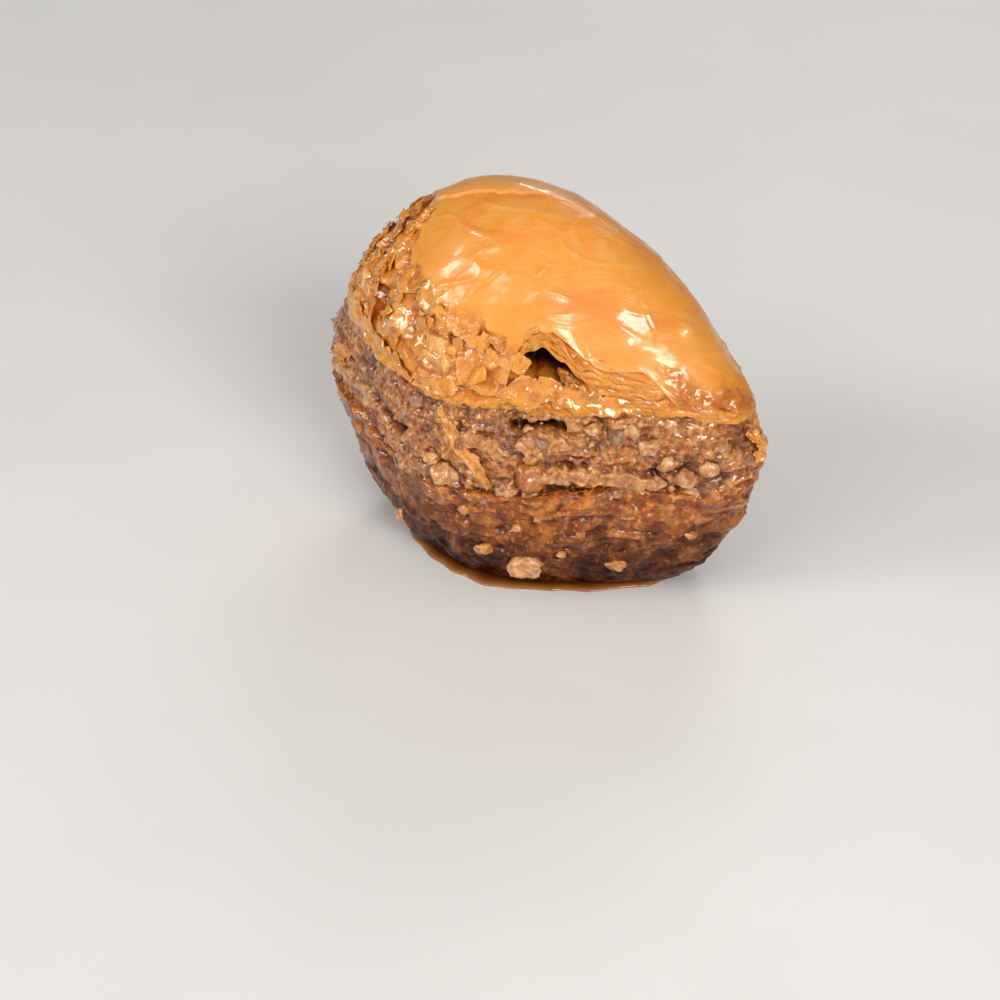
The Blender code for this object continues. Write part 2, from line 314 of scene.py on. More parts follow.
def painted_shade_map(relief, span):
    """Painted shade from the relief in metres of a grid that closes on itself: 0 on ridges, 1 deep in a
    hollow.
    """
    level = relief
    for step in (1, 2, 4):
        level = (level + np.roll(level, step, 1) + np.roll(level, -step, 1)) / 3.0
        padded = np.pad(level, ((step, step), (0, 0)), "edge")
        level = (level + padded[2 * step:] + padded[:-2 * step]) / 3.0
    return np.clip(0.5 + (level - relief) / span, 0.0, 1.0)


WHITE = (1.0, 1.0, 1.0, 1)


def painted_hollow_shade(place, colour, half_shade, full_shade):
    """The colour darkened by painted shade where the surface lies in a hollow."""
    return colour.tinted(own_value(place, "hollow").ramp((0.0, WHITE), (0.45, half_shade), (1.0, full_shade)))


def crystals(place, size):
    """Flat facets about size across, each tilted its own way: their height in metres."""
    middle = place.node("ShaderNodeTexVoronoi", None, {"Vector": place, "Scale": 1.0 / size}, "Position")
    own = Flow(place.tree, middle.socket.node.outputs["Color"])
    tilt = own.vectors("SUBTRACT", (0.5, 0.5, 0.5))
    return place.vectors("SUBTRACT", middle).vectors("DOT_PRODUCT", tilt, "Value")


def soaked_filo():
    """Filo brown and see-through with syrup and wet all over; darker towards the foot, partly from syrup and
    partly painted shade.
    """
    surface, place = started("soaked_filo")
    height = place.node("ShaderNodeSeparateXYZ", None, {"Vector": place}, "Z")
    wide = grain(place, 5 * MM, 3.0, 0.6)
    blots = grain(stretched(place, (0.8, 0.8, 1.0)), 1.8 * MM, 4.0, 0.6)
    specks = grain(place, 0.6 * MM, 2.0)
    fine = grain(place, 0.25 * MM, 2.0)
    # depth runs from the foot up: the dark end near the foot is partly soaked syrup and partly painted shade
    # of the underside.
    depth = (height + (wide - 0.5) * (9 * MM)).between(1 * MM, 16 * MM)
    dark = depth.colour((0.026, 0.0040, 0.0003, 1), (0.400, 0.108, 0.0110, 1))
    pale = depth.colour((0.130, 0.022, 0.0010, 1), (0.820, 0.310, 0.0600, 1))
    colour = (wide * 0.52 + blots * 0.34 + specks * 0.24).between(0.46, 0.68).colour(dark, pale)
    colour = (specks.between(0.54, 0.70) * depth * 0.65).colour(colour, (0.900, 0.480, 0.180, 1))
    colour = painted_hollow_shade(place, colour, (0.80, 0.66, 0.50, 1), (0.32, 0.16, 0.06, 1))
    roughness = 0.30 + fine * 0.28
    coat = (0.50 + 0.50 * blots.between(0.45, 0.58)) * (0.28 + 0.72 * depth)
    fixed = {"Coat Roughness": 0.05, "Subsurface Weight": 0.25, "Subsurface Radius": (1.0, 0.32, 0.08),
             "Subsurface Scale": 1.2 * MM, "IOR": 1.33, "Specular IOR Level": 0.2, "Coat IOR": 1.60}
    small_glints = crystals(place, 0.6 * MM) * (1.2 + 1.9 * blots.between(0.46, 0.58))
    glints = small_glints + crystals(place, 1.5 * MM) * 0.9
    bumps = [(blots, 0.30 * MM, 0.8), (glints, 0.9, 0.9), (fine, 0.05 * MM, 0.8)]
    return finished(surface, place, colour, roughness, coat, fixed, bumps)


def facets_at(points, scale, seed):
    """Crumpled flat facets, each tilted its own way: their height as a share of their size."""
    noise.seed_set(seed)
    shift = Vector((seed * 3.9, seed * 5.3, seed * 2.2))
    places = (np.asarray(points).reshape(-1, 3) / scale).tolist()
    heights = []
    for place in places:
        spot = Vector(place) + shift
        middle = noise.voronoi(spot)[1][0]
        tilt = noise.noise_vector(middle * 3.7)
        heights.append((spot - middle).dot(tilt) + 0.5 * noise.noise(middle * 5.3))
    return np.array(heights).reshape(np.shape(points)[:-1])


LEDGE = 1.5 * MM


def base_relief(degrees, heights):
    """How far the belly's surface stands out: soft folds, some leaves' ledges, and a fine grain."""
    points = side(degrees, heights)
    flat = points * np.array((1.0, 1.0, 1.35))
    swelling = 0.5 * wobble(degrees, heights, 8 * MM, 12)
    waved = heights + 1.6 * MM * wobble(degrees, 0.0, 9 * MM, 61) + 0.9 * MM * noise_at(points, 3.5 * MM, 62)
    leaf = waved / LEDGE
    number = np.floor(leaf)
    own = wobble(degrees, number * 5 * MM, 4 * MM, 63) + 0.5 * wobble(degrees, number * 5 * MM, 1.5 * MM, 64)
    groove = np.abs(2.0 * (leaf - number) - 1.0) ** 4
    clear = eased(0.30 + 2.2 * noise_at(points, 6 * MM, 65))
    ledges = clear * (0.34 * own - 0.20 * groove)
    folds = 0.78 * noise_at(flat, 4.2 * MM, 67) + 0.36 * noise_at(flat, 1.9 * MM, 68)
    crushed = 0.48 * facets_at(flat, 2.8 * MM, 69)
    pitted = np.maximum(noise_at(points, 2.1 * MM, 70) - 0.30, 0.0)
    grit = 0.11 * noise_at(points, 0.75 * MM, 66)
    return (swelling + ledges + folds + crushed + grit - 0.5 * pitted - 0.16) * MM


BASE_COLUMNS = 560
BASE_ROWS = 165
FOOT_ROUNDING = 1.6 * MM

around_base = directions(BASE_COLUMNS)
base_rows = [side(around_base, 0.0, share=share) for share in (0.4, 0.8)]
base_edge = around(BASE_TOP, around_base) * MM + 0.8 * MM * wobble(around_base, 0.0, 3.5 * MM, 60)
base_reach = np.arccos(1.0 - base_edge / BULGE_HEIGHT)
base_heights = np.array([BULGE_HEIGHT * (1.0 - np.cos(base_reach * row / BASE_ROWS))
                         for row in range(BASE_ROWS + 1)])
base_grid = np.tile(around_base, (BASE_ROWS + 1, 1))
relief = base_relief(base_grid, base_heights) * eased(base_heights / FOOT_ROUNDING)
base_rows += list(side(base_grid, base_heights, relief))
# Painted shade in the belly's hollows, stored as its hollow attribute.
base_painted_shade = painted_shade_map(relief, 0.55 * MM)
for share in (0.9, 0.75):
    base_rows.append(side(around_base, base_heights[-1], share=share))
base_mesh = wrapped_mesh("base_leaves_dressed", np.array(base_rows), below=(0, 0, 0), above=(0, 0, 15 * MM))
hidden_below = np.full(2 * BASE_COLUMNS, 0.5)
hidden_above = np.full(2 * BASE_COLUMNS + 2, 0.5)
own_attribute(base_mesh, "hollow", np.concatenate((hidden_below, base_painted_shade.ravel(), hidden_above)))
base = placed(base_mesh, soaked_filo())
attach(base, "root")
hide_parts("base_leaves")


# The filling: walnuts chopped to between crumbs and quarter kernels, bound with butter and
# syrup into a rough paste. It runs through the piece, and was crushed a little by the knife.

FILLING_TOP = ((20, 26.6), (53, 25.8), (100, 27.6), (150, 29.6), (190, 26.9), (233, 26.7), (272, 27.8),
               (305, 27.2), (331, 25.4))


def walnut_paste():
    """Moist ground walnut: tan, with greyish skins in it, and painted shade in its slits and crevices."""
    surface, place = started("walnut_paste")
    patches = grain(place, 5 * MM, 3.0, 0.8)
    specks = grain(place, 0.65 * MM, 3.0, 0.2)
    fine = grain(place, 0.30 * MM, 2.0)
    clumps = grain(place, 2.2 * MM, 3.0, 1.0)
    tan = specks.between(0.35, 0.68).colour((0.540, 0.180, 0.038, 1), (0.900, 0.490, 0.190, 1))
    grey = specks.between(0.35, 0.68).colour((0.270, 0.100, 0.036, 1), (0.560, 0.280, 0.130, 1))
    colour = patches.between(0.48, 0.62).colour(tan, grey)
    colour = (clumps.between(0.50, 0.66) * 0.45).colour(colour, (0.500, 0.150, 0.020, 1))
    dragged = specks.between(0.30, 0.70).colour((0.600, 0.240, 0.066, 1), (0.880, 0.480, 0.190, 1))
    colour = (own_value(place, "smear") * 0.8).colour(colour, dragged)
    # Painted shade: depth darkens the slits and deepest crevices almost to black.
    colour = own_value(place, "depth").colour((0.130, 0.028, 0.003, 1), colour)
    colour = painted_hollow_shade(place, colour, (0.86, 0.74, 0.60, 1), (0.36, 0.18, 0.07, 1))
    roughness = 0.30 + fine * 0.35
    coat = 0.35 + 0.65 * grain(place, 1.3 * MM, 2.0).between(0.40, 0.56)
    fixed = {"Coat Roughness": 0.05, "Subsurface Weight": 0.20, "Subsurface Radius": (1.0, 0.5, 0.25),
             "Subsurface Scale": 0.9 * MM, "IOR": 1.40, "Specular IOR Level": 0.3, "Coat IOR": 1.60}
    glints = crystals(place, 0.6 * MM) * 2.3 + crystals(place, 1.4 * MM) * 0.7
    bumps = [(specks, 0.18 * MM, 0.9), (glints, 0.9, 0.9), (fine, 0.07 * MM, 0.9)]
    return finished(surface, place, colour, roughness, coat, fixed, bumps)


def cells_at(points, scale, seed):
    """How far each point is from the nearest seam between packed grains, as a share of a grain."""
    shift = Vector((seed * 4.37, seed * 2.91, seed * 6.13))
    places = (np.asarray(points).reshape(-1, 3) / scale).tolist()
    seams = []
    for place in places:
        near = noise.voronoi(Vector(place) + shift)[0]
        seams.append(near[1] - near[0])
    return np.array(seams).reshape(np.shape(points)[:-1])


def near_line(points, line):
    """Distance from each point to a bent line, and how far along the line the nearest place is."""
    best = np.full(points.shape[:-1], 1.0)
    along = np.zeros(points.shape[:-1])
    stretch = 1.0 / (len(line) - 1)
    for order, (start, end) in enumerate(zip(line, line[1:])):
        start = np.array(start) * MM
        way = np.array(end) * MM - start
        share = np.clip(((points - start) @ way) / (way @ way), 0.0, 1.0)
        gap = np.linalg.norm(points - start - share[..., None] * way, axis=-1)
        along = np.where(gap < best, (order + share) * stretch, along)
        best = np.minimum(gap, best)
    return best, along


SLITS = (((254, 25.4), (262, 25.4), (273, 25.9), (286, 24.9)),
         ((275, 15.5), (284, 15.8), (291, 16.5), (299, 17.6)),
         ((304, 17.6), (311, 15.9), (319, 16.4)),
         ((20, 22.0), (34, 21.2), (47, 21.6)),
         ((118, 23.5), (134, 24.2)),
         ((78, 19.2), (90, 18.2), (103, 18.4)),
         ((186, 20.4), (197, 19.4), (206, 19.8)),
         ((350, 20.5), (362, 21.6)))
SLIT_DEPTH = 1.7
SLIT_HALF_WIDTH = 0.55 * MM
SMEARS = (((268, 18.5), (277, 19.1), (287, 18.9), (296, 18.9), (309, 17.9)),
          ((236, 23.4), (246, 22.6), (256, 21.8)),
          ((258, 23.2), (269, 23.8), (280, 23.2)),
          ((28, 21.2), (42, 20.2), (56, 21.2)),
          ((98, 23.2), (114, 24.0), (130, 22.8)),
          ((160, 19.8), (174, 20.6), (186, 19.6)))
SMEAR_HALF_WIDTH = 1.35 * MM
STRAY_REACH = 4.0 * MM


def smeared_share(points):
    """Where paste was dragged by the knife into a raised crust with ragged edges, from 0 to 1."""
    most = np.zeros(points.shape[:-1])
    ragged = 1.0 + 0.55 * noise_at(points, 2.2 * MM, 31) + 0.4 * noise_at(points, 0.9 * MM, 32)
    reach = SMEAR_HALF_WIDTH * ragged
    for smear in SMEARS:
        line = [side(float(turn), rise * MM) / MM for turn, rise in smear]
        gap, along = near_line(points, line)
        ends = eased(np.minimum(along, 1.0 - along) * 5.0)
        most = np.maximum(most, eased((reach * (0.4 + 0.6 * ends) - gap) / (0.45 * MM)))
    return most


def filling_relief(degrees, heights):
    """How far the paste stands out: packed grains, level smears, crevices, and slits between clumps."""
    points = side(degrees, heights)
    broad = wobble(degrees, heights * 1.5, 4.2 * MM, 21) * 0.8
    broad = broad + wobble(degrees, heights * 1.3, 2.1 * MM, 22) * 0.45
    smeared = 0.28 * wobble(degrees, heights * 4.5, 3.5 * MM, 27)
    packed = eased(cells_at(points * np.array((1.0, 1.0, 1.3)), 3.2 * MM, 23) / 0.5)
    small = eased(cells_at(points, 1.2 * MM, 24) / 0.5)
    loose = eased(0.40 + 1.6 * noise_at(points, 7 * MM, 25))
    grains = loose * (0.85 * packed + 0.30 * small) + (1.0 - loose) * (0.92 + 0.12 * small)
    rough = 0.16 * noise_at(points, 0.7 * MM, 26) + 0.10 * noise_at(points, 0.35 * MM, 28)
    relief = broad * 0.62 + smeared + grains + rough - 1.40
    for slit in SLITS:
        line = [side(float(turn), rise * MM) / MM for turn, rise in slit]
        gap, along = near_line(points, line)
        ends = np.minimum(along, 1.0 - along) * 5.0
        ragged = gap * (1.0 + 0.5 * noise_at(points, 1.4 * MM, 29))
        relief = relief - SLIT_DEPTH * np.exp(-((ragged / SLIT_HALF_WIDTH) ** 2)) * eased(ends)
    crust = 0.25 + 0.30 * noise_at(points, 1.5 * MM, 33) + 0.14 * noise_at(points, 0.5 * MM, 34)
    relief = relief + (crust - relief) * smeared_share(points)
    stray = np.clip((around(BASE_TOP, degrees) * MM - heights) / STRAY_REACH, 0.0, 1.0)
    smear = -0.35 - 2.3 * stray + 1.5 * noise_at(points, 2.4 * MM, 30) + 0.35 * small
    return (relief + (smear - relief) * eased(stray * 5.0)) * MM


FILLING_COLUMNS = 600
FILLING_ROWS = 120

around_filling = directions(FILLING_COLUMNS)
filling_low = around(BASE_TOP, around_filling) * MM - STRAY_REACH
filling_high = around(FILLING_TOP, around_filling) * MM + 0.3 * MM
filling_heights = np.array([filling_low + (filling_high - filling_low) * row / FILLING_ROWS
                            for row in range(FILLING_ROWS + 1)])
filling_grid = np.tile(around_filling, (FILLING_ROWS + 1, 1))
relief = filling_relief(filling_grid, filling_heights)
filling_rows = [side(around_filling, filling_low, share=0.8)]
filling_rows += list(side(filling_grid, filling_heights, relief))
filling_rows.append(side(around_filling, filling_high, share=0.8))
filling_mesh = wrapped_mesh("filling_paste", np.array(filling_rows), below=(0, 0, 15.5 * MM),
                            above=(0, 0, 27 * MM))
smears = smeared_share(side(filling_grid, filling_heights))
# depth and hollow are painted shade for the slits, crevices and hollows; smear is where paste was dragged.
for label, values, hidden in (("depth", eased((relief / MM + 1.8) / 1.5), 1.0),
                              ("hollow", painted_shade_map(relief, 0.8 * MM), 0.5), ("smear", smears, 0.0)):
    values = np.pad(values, ((1, 1), (0, 0)), constant_values=hidden)
    own_attribute(filling_mesh, label, np.append(values.ravel(), (hidden, hidden)))
filling = placed(filling_mesh, walnut_paste())
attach(filling, "root")
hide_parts("walnut_filling")


# The walnut bits that stand out of the paste: kernels broken by the knife, some with a flat
# cut face, some rounded, each coated with syrup. Finer crumbs fill the spaces between them.

def walnut_bit():
    """Walnut flesh in the shade of its own kernel, from pale cream to toasted, with syrup on it."""
    surface, place = started("walnut_bit")
    mottle = grain(place, 0.9 * MM, 3.0, 0.5)
    fine = grain(place, 0.3 * MM, 2.0)
    own = own_value(place, "shade").ramp(
        (0.0, (0.440, 0.125, 0.013, 1)), (0.20, (0.680, 0.270, 0.060, 1)), (0.50, (0.760, 0.370, 0.125, 1)),
        (0.82, (0.820, 0.450, 0.180, 1)), (1.0, (0.400, 0.210, 0.120, 1)))
    colour = own.tinted(mottle.between(0.38, 0.66).colour((0.62, 0.50, 0.44, 1), WHITE))
    roughness = 0.28 + fine * 0.3
    coat = mottle.between(0.30, 0.60)
    fixed = {"Coat Roughness": 0.08, "Subsurface Weight": 0.25, "Subsurface Radius": (1.0, 0.5, 0.25),
             "Subsurface Scale": 0.8 * MM, "IOR": 1.47}
    bumps = [(mottle, 0.16 * MM, 0.8), (crystals(place, 0.9 * MM), 0.8, 0.8), (fine, 0.06 * MM, 0.7)]
    return finished(surface, place, colour, roughness, coat, fixed, bumps)


def kernel_mesh(name, seed, fineness, cuts):
    """A bit of kernel about 1 across: a lump with folds in it, and flat faces where it was cut."""
    draw = random.Random(seed)
    shape = bmesh.new()
    bmesh.ops.create_icosphere(shape, subdivisions=fineness, radius=0.5)
    planes = []
    for _ in range(cuts):
        way = Vector((draw.gauss(0, 1), draw.gauss(0, 1), draw.gauss(0, 1))).normalized()
        planes.append((way, draw.uniform(0.26, 0.40)))
    stretch = Vector((draw.uniform(0.85, 1.25), draw.uniform(0.75, 1.0), draw.uniform(0.7, 0.95)))
    shift = Vector((seed * 1.7, seed * 0.9, seed * 2.3))
    for vertex in shape.verts:
        way = vertex.co.normalized()
        reach = 0.5 + 0.18 * noise.noise(way * 1.4 + shift) + 0.10 * noise.noise(way * 3.6 + shift)
        for normal, depth_of_cut in planes:
            facing = way.dot(normal)
            if facing > 0.05:
                reach = min(reach, depth_of_cut / facing)
        reach += 0.035 * noise.noise(way * 8.0 + shift)
        vertex.co = way * reach * stretch
    mesh = bpy.data.meshes.new(name)
    shape.to_mesh(mesh)
    shape.free()
    mesh.shade_smooth()
    return mesh


def shapes_collection(name, meshes):
    """The shapes that a scatter picks from, kept out of the scene."""
    group = bpy.data.collections.new(name)
    for order, mesh in enumerate(meshes):
        group.objects.link(bpy.data.objects.new(f"{name}_{order:02d}", mesh))
    return group


def scatter_tree():
    """Strews the shapes of a collection over the host's faces, sunk in and turned at random."""
    tree = bpy.data.node_groups.new("strewn_bits", "GeometryNodeTree")
    sockets = (("Geometry", "NodeSocketGeometry"), ("Shapes", "NodeSocketCollection"),
               ("Bits per area", "NodeSocketFloat"), ("Smallest", "NodeSocketFloat"),
               ("Largest", "NodeSocketFloat"), ("Evenness", "NodeSocketFloat"),
               ("Sunk", "NodeSocketFloat"), ("Tilt", "NodeSocketVector"), ("Seed", "NodeSocketInt"),
               ("Surface", "NodeSocketMaterial"))
    for label, kind in sockets:
        tree.interface.new_socket(label, in_out="INPUT", socket_type=kind)
    tree.interface.new_socket("Geometry", in_out="OUTPUT", socket_type="NodeSocketGeometry")
    entry = tree.nodes.new("NodeGroupInput")
    given = {label: Flow(tree, entry.outputs[label]) for label, _ in sockets}
    flow = Flow(tree)
    spread = flow.node("GeometryNodeInputNamedAttribute", {"data_type": "FLOAT"}, {"Name": "spread"},
                       "Attribute")
    values = {"Mesh": given["Geometry"], "Density": spread * given["Bits per area"], "Seed": given["Seed"]}
    points = flow.node("GeometryNodeDistributePointsOnFaces", None, values, "Points")
    upright = Flow(tree, points.socket.node.outputs["Rotation"])
    chance = flow.node("FunctionNodeRandomValue", {"data_type": "FLOAT"}, {"Seed": given["Seed"] + 1.0},
                       "Value_001")
    size = given["Smallest"] + (given["Largest"] - given["Smallest"]) * chance ** given["Evenness"]
    values = {"Min": (-1.0, -1.0, -1.0), "Max": (1.0, 1.0, 1.0), "Seed": given["Seed"] + 2.0}
    turn = flow.node("FunctionNodeRandomValue", {"data_type": "FLOAT_VECTOR"}, values, "Value")
    turn = flow.node("FunctionNodeEulerToRotation", None, {"Euler": turn.vectors("MULTIPLY", given["Tilt"])})
    turn = flow.node("FunctionNodeRotateRotation", {"rotation_space": "LOCAL"},
                     {"Rotation": upright, "Rotate By": turn})
    drop = flow.node("ShaderNodeCombineXYZ", None, {"Z": size * given["Sunk"] * -1.0})
    drop = flow.node("FunctionNodeRotateVector", None, {"Vector": drop, "Rotation": upright})
    points = flow.node("GeometryNodeSetPosition", None, {"Geometry": points, "Offset": drop})
    values = {"Collection": given["Shapes"], "Separate Children": True, "Reset Children": True}
    shapes = flow.node("GeometryNodeCollectionInfo", None, values)
    values = {"Points": points, "Instance": shapes, "Pick Instance": True, "Rotation": turn, "Scale": size}
    bits = flow.node("GeometryNodeInstanceOnPoints", None, values)
    shade = flow.node("FunctionNodeRandomValue", {"data_type": "FLOAT"}, {"Seed": given["Seed"] + 3.0},
                      "Value_001")
    values = {"Geometry": bits, "Name": "shade", "Value": shade}
    bits = flow.node("GeometryNodeStoreNamedAttribute", {"data_type": "FLOAT", "domain": "INSTANCE"}, values)
    whole = flow.node("GeometryNodeRealizeInstances", None, {"Geometry": bits})
    whole = flow.node("GeometryNodeSetMaterial", None, {"Geometry": whole, "Material": given["Surface"]})
    leave = tree.nodes.new("NodeGroupOutput")
    tree.links.new(whole.socket, leave.inputs["Geometry"])
    return tree


STREWN_BITS = scatter_tree()


def host_mesh(name, degrees, heights, relief, spread):
    """A strip of the piece's side that bits are strewn on, thicker where spread is higher."""
    mesh = wrapped_mesh(name, side(degrees, heights, relief))
    mesh.attributes.new("spread", "FLOAT", "POINT").data.foreach_set("value", spread.ravel())
    return mesh


def strewn(name, host, shapes, surface, **numbers):
    """The bits as one plain mesh."""
    thing = placed(host, surface)
    modifier = thing.modifiers.new("strewn", "NODES")
    modifier.node_group = STREWN_BITS
    names = {item.name: item.identifier for item in STREWN_BITS.interface.items_tree
             if item.in_out == "INPUT"}
    modifier[names["Shapes"]] = shapes
    modifier[names["Surface"]] = surface
    for label, value in numbers.items():
        modifier[names[label.replace("_", " ")]] = value
    bpy.context.view_layer.update()
    evaluated = thing.evaluated_get(bpy.context.evaluated_depsgraph_get())
    mesh = bpy.data.meshes.new_from_object(evaluated)
    mesh.name = name
    bpy.data.objects.remove(thing)
    for shape in list(shapes.objects):
        bpy.data.objects.remove(shape)
    bpy.data.collections.remove(shapes)
    return placed(mesh, surface)


HOST_COLUMNS = 360
HOST_ROWS = 36

walnut_surface = walnut_bit()
host_grid = np.tile(directions(HOST_COLUMNS), (HOST_ROWS, 1))
low = around(BASE_TOP, host_grid) * MM - 1.5 * MM
high = around(FILLING_TOP, host_grid) * MM - 0.8 * MM
host_heights = low + (high - low) * np.linspace(0.0, 1.0, HOST_ROWS)[:, None]
host_relief = filling_relief(host_grid, host_heights)
clusters = np.clip(1.0 + 1.8 * noise_at(side(host_grid, host_heights), 6 * MM, 71), 0.0, 2.2)

kernels = [kernel_mesh(f"kernel_{seed}", seed, 3, 2 + seed % 2) for seed in range(7)]
bits_host = host_mesh("walnut_host", host_grid, host_heights, host_relief, clusters)
chunks = strewn("walnut_chunks", bits_host, shapes_collection("kernels", kernels), walnut_surface,
                Bits_per_area=50000.0, Smallest=1.6 * MM, Largest=3.6 * MM, Evenness=2.2, Sunk=0.28,
                Tilt=(3.14, 3.14, 3.14), Seed=4)
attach(chunks, "root")
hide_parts("walnut_filling")

crumbs = [kernel_mesh(f"crumb_{seed}", 20 + seed, 1, 2) for seed in range(8)]
clusters = np.clip(0.9 + 1.6 * noise_at(side(host_grid, host_heights), 4 * MM, 72), 0.1, 2.0)
crumb_host = host_mesh("crumb_host", host_grid, host_heights, host_relief, clusters)
fine_crumbs = strewn("walnut_crumbs", crumb_host, shapes_collection("crumbs", crumbs), walnut_surface,
                     Bits_per_area=280000.0, Smallest=0.4 * MM, Largest=1.8 * MM, Evenness=1.8, Sunk=0.22,
                     Tilt=(3.14, 3.14, 3.14), Seed=9)
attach(fine_crumbs, "root")
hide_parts("walnut_filling")


def set_bits(name, bits, first_seed, sunk):
    """Bits at listed places, as (direction, height, size, shade, cut faces) in degrees and millimetres."""
    whole = bmesh.new()
    shade_layer = whole.verts.layers.float.new("shade")
    for order, (degrees, height, size, shade, cuts) in enumerate(bits):
        bit = kernel_mesh(f"{name}_{order}", first_seed + order, 3, cuts)
        middle = Vector(side(float(degrees), height * MM, -sunk * size * MM))
        known = len(whole.verts)
        whole.from_mesh(bit)
        whole.verts.ensure_lookup_table()
        for vertex in whole.verts[known:]:
            vertex.co = vertex.co * size * MM + middle
            vertex[shade_layer] = shade
        bpy.data.meshes.remove(bit)
    mesh = bpy.data.meshes.new(name)
    whole.to_mesh(mesh)
    whole.free()
    mesh.shade_smooth()
    return placed(mesh, walnut_surface)


SET_KERNELS = ((264.5, 18.4, 4.4, 0.14, 2), (297, 24.4, 3.0, 1.0, 3), (314.5, 18.7, 2.9, 0.86, 0),
               (310.5, 20.9, 2.6, 0.80, 1), (308.0, 17.9, 2.3, 0.72, 0), (319.0, 20.2, 2.4, 0.80, 1),
               (227.0, 16.6, 3.3, 0.80, 0), (221.5, 18.6, 2.2, 0.66, 1), (290.0, 25.4, 2.7, 0.78, 2),
               (302.5, 25.2, 2.3, 0.70, 1), (283.0, 26.0, 2.2, 0.74, 1), (306.5, 23.0, 2.5, 0.85, 2),
               (60.0, 22.0, 3.4, 0.80, 2), (110.0, 20.5, 3.2, 0.15, 2), (150.0, 22.5, 3.0, 0.78, 1))
set_kernels = set_bits("set_kernels", SET_KERNELS, 80, 0.24)
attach(set_kernels, "root")
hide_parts("walnut_filling")


# Walnut bits on the base: bits of kernel that fell out of the paste as the piece was cut and
# lifted, and that stuck in the syrup on the base leaves.

BASE_CRUMBS = ((261.5, 4.6, 4.4, 0.8, 1), (242, 6.5, 2.2, 0.3, 1), (300, 5.2, 2.4, 0.35, 1),
               (20, 6.0, 3.2, 0.6, 1), (95, 7.5, 3.6, 0.45, 1), (190, 5.0, 2.8, 0.7, 1),
               (259, 10.8, 1.7, 0.45, 2), (268, 12.6, 1.5, 0.3, 2), (285, 10.4, 1.4, 0.4, 1),
               (236, 12.5, 1.6, 0.5, 2), (318, 9.8, 1.3, 0.6, 1), (278, 7.0, 1.2, 0.3, 1))
stuck_bits = set_bits("stuck_walnuts", BASE_CRUMBS, 40, 0.06)
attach(stuck_bits, "root")
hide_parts("base_leaves")


# The crust's leaves: buttered filo that puffed up in the oven, so that the sheets stand apart.
# Their cut edges step down the side like shingles, and one run of them is lifted into an arch.

SKIN_EDGE = ((12, 35.6), (35, 34.4), (53, 29.6), (74, 34.6), (100, 37.5), (125, 42.5), (148, 45.9),
             (166, 45.2), (187, 40.5), (217, 38.7), (238, 37.2), (262, 35.4), (278, 37.0), (298, 32.6),
             (312, 32.6), (322, 30.6), (332, 28.4), (346, 31.5))
TORN_SIDE = ((95, 0.0), (112, 0.9), (200, 1.0), (240, 0.55), (264, 0.15), (270, 0.0),
             (308, 0.0), (317, 0.42), (330, 0.42), (341, 0.0))
ARCH_LIP = ((0, 29.0), (246, 29.6), (254.5, 31.6), (261, 33.4), (267, 34.8), (274, 35.4), (281, 34.0),
            (287, 32.0), (295, 30.2), (304, 29.4))
ARCH_MIDDLE = 275.0
ARCH_HALF_WIDTH = 19.0
ARCH_DEPTH = 5.2 * MM
LEAVES = 12
LIFTED_LEAF = 6
LEAF_THICKNESS = 0.09 * MM
LEAF_COLUMNS = 640
LEAF_ROWS = 5


def baked_filo(name, wet):
    """Filo baked to gold, paler on thin dry edges. The wet one is all under glaze, in flat facets."""
    surface, place = started(name)
    bands = grain(stretched(place, (0.35, 1.0, 1.1), (0.3, 0.5, 0.35)), 6 * MM, 3.0, 1.2)
    patches = grain(place, 2.2 * MM, 3.0, 0.6)
    fine = grain(place, 0.35 * MM, 2.0)
    # deep is painted shade: it darkens the tucked parts of the leaves and the arch's opening, and takes
    # their coat away.
    deep = own_value(place, "deep")
    shade = own_value(place, "shade")
    tone = shade * (0.45 + 0.40 * wet) + patches * 0.8 + bands * 0.3 - 0.38 - 0.30 * wet
    colour = tone.ramp((0.0, (0.600, 0.190, 0.011, 1)), (0.35, (0.790, 0.290, 0.022, 1)),
                       (1.0, (0.920, 0.410, 0.062, 1)))
    colour = (own_value(place, "edge") * (0.50 - 0.10 * wet)).colour(colour, (0.900, 0.400, 0.070, 1))
    shadow = deep.ramp((0.0, WHITE), (0.5, (0.60, 0.34, 0.14, 1)), (1.0, (0.035, 0.016, 0.007, 1)))
    colour = colour.tinted(shadow)
    roughness = 0.34 + fine * 0.25
    coat = (0.18 + 1.1 * wet + 0.62 * (1.0 - wet) * patches.between(0.42, 0.58)) * (1.0 - deep)
    fixed = {"Coat Roughness": 0.06, "IOR": 1.38, "Coat IOR": 1.65}
    facets = crystals(place, 1.9 * MM) * (wet * 1.2) + crystals(place, 0.8 * MM) * (0.5 + 0.35 * wet)
    bumps = [(patches, 0.26 * MM, 0.8), (facets, 0.9, 0.8), (fine, 0.08 * MM, 0.9)]
    return finished(surface, place, colour, roughness, coat, fixed, bumps)


def lift_at(degrees):
    """How much the leaves are lifted into the arch at some directions, from 0 to 1."""
    return eased(1.0 - np.abs(degrees - ARCH_MIDDLE) / ARCH_HALF_WIDTH)


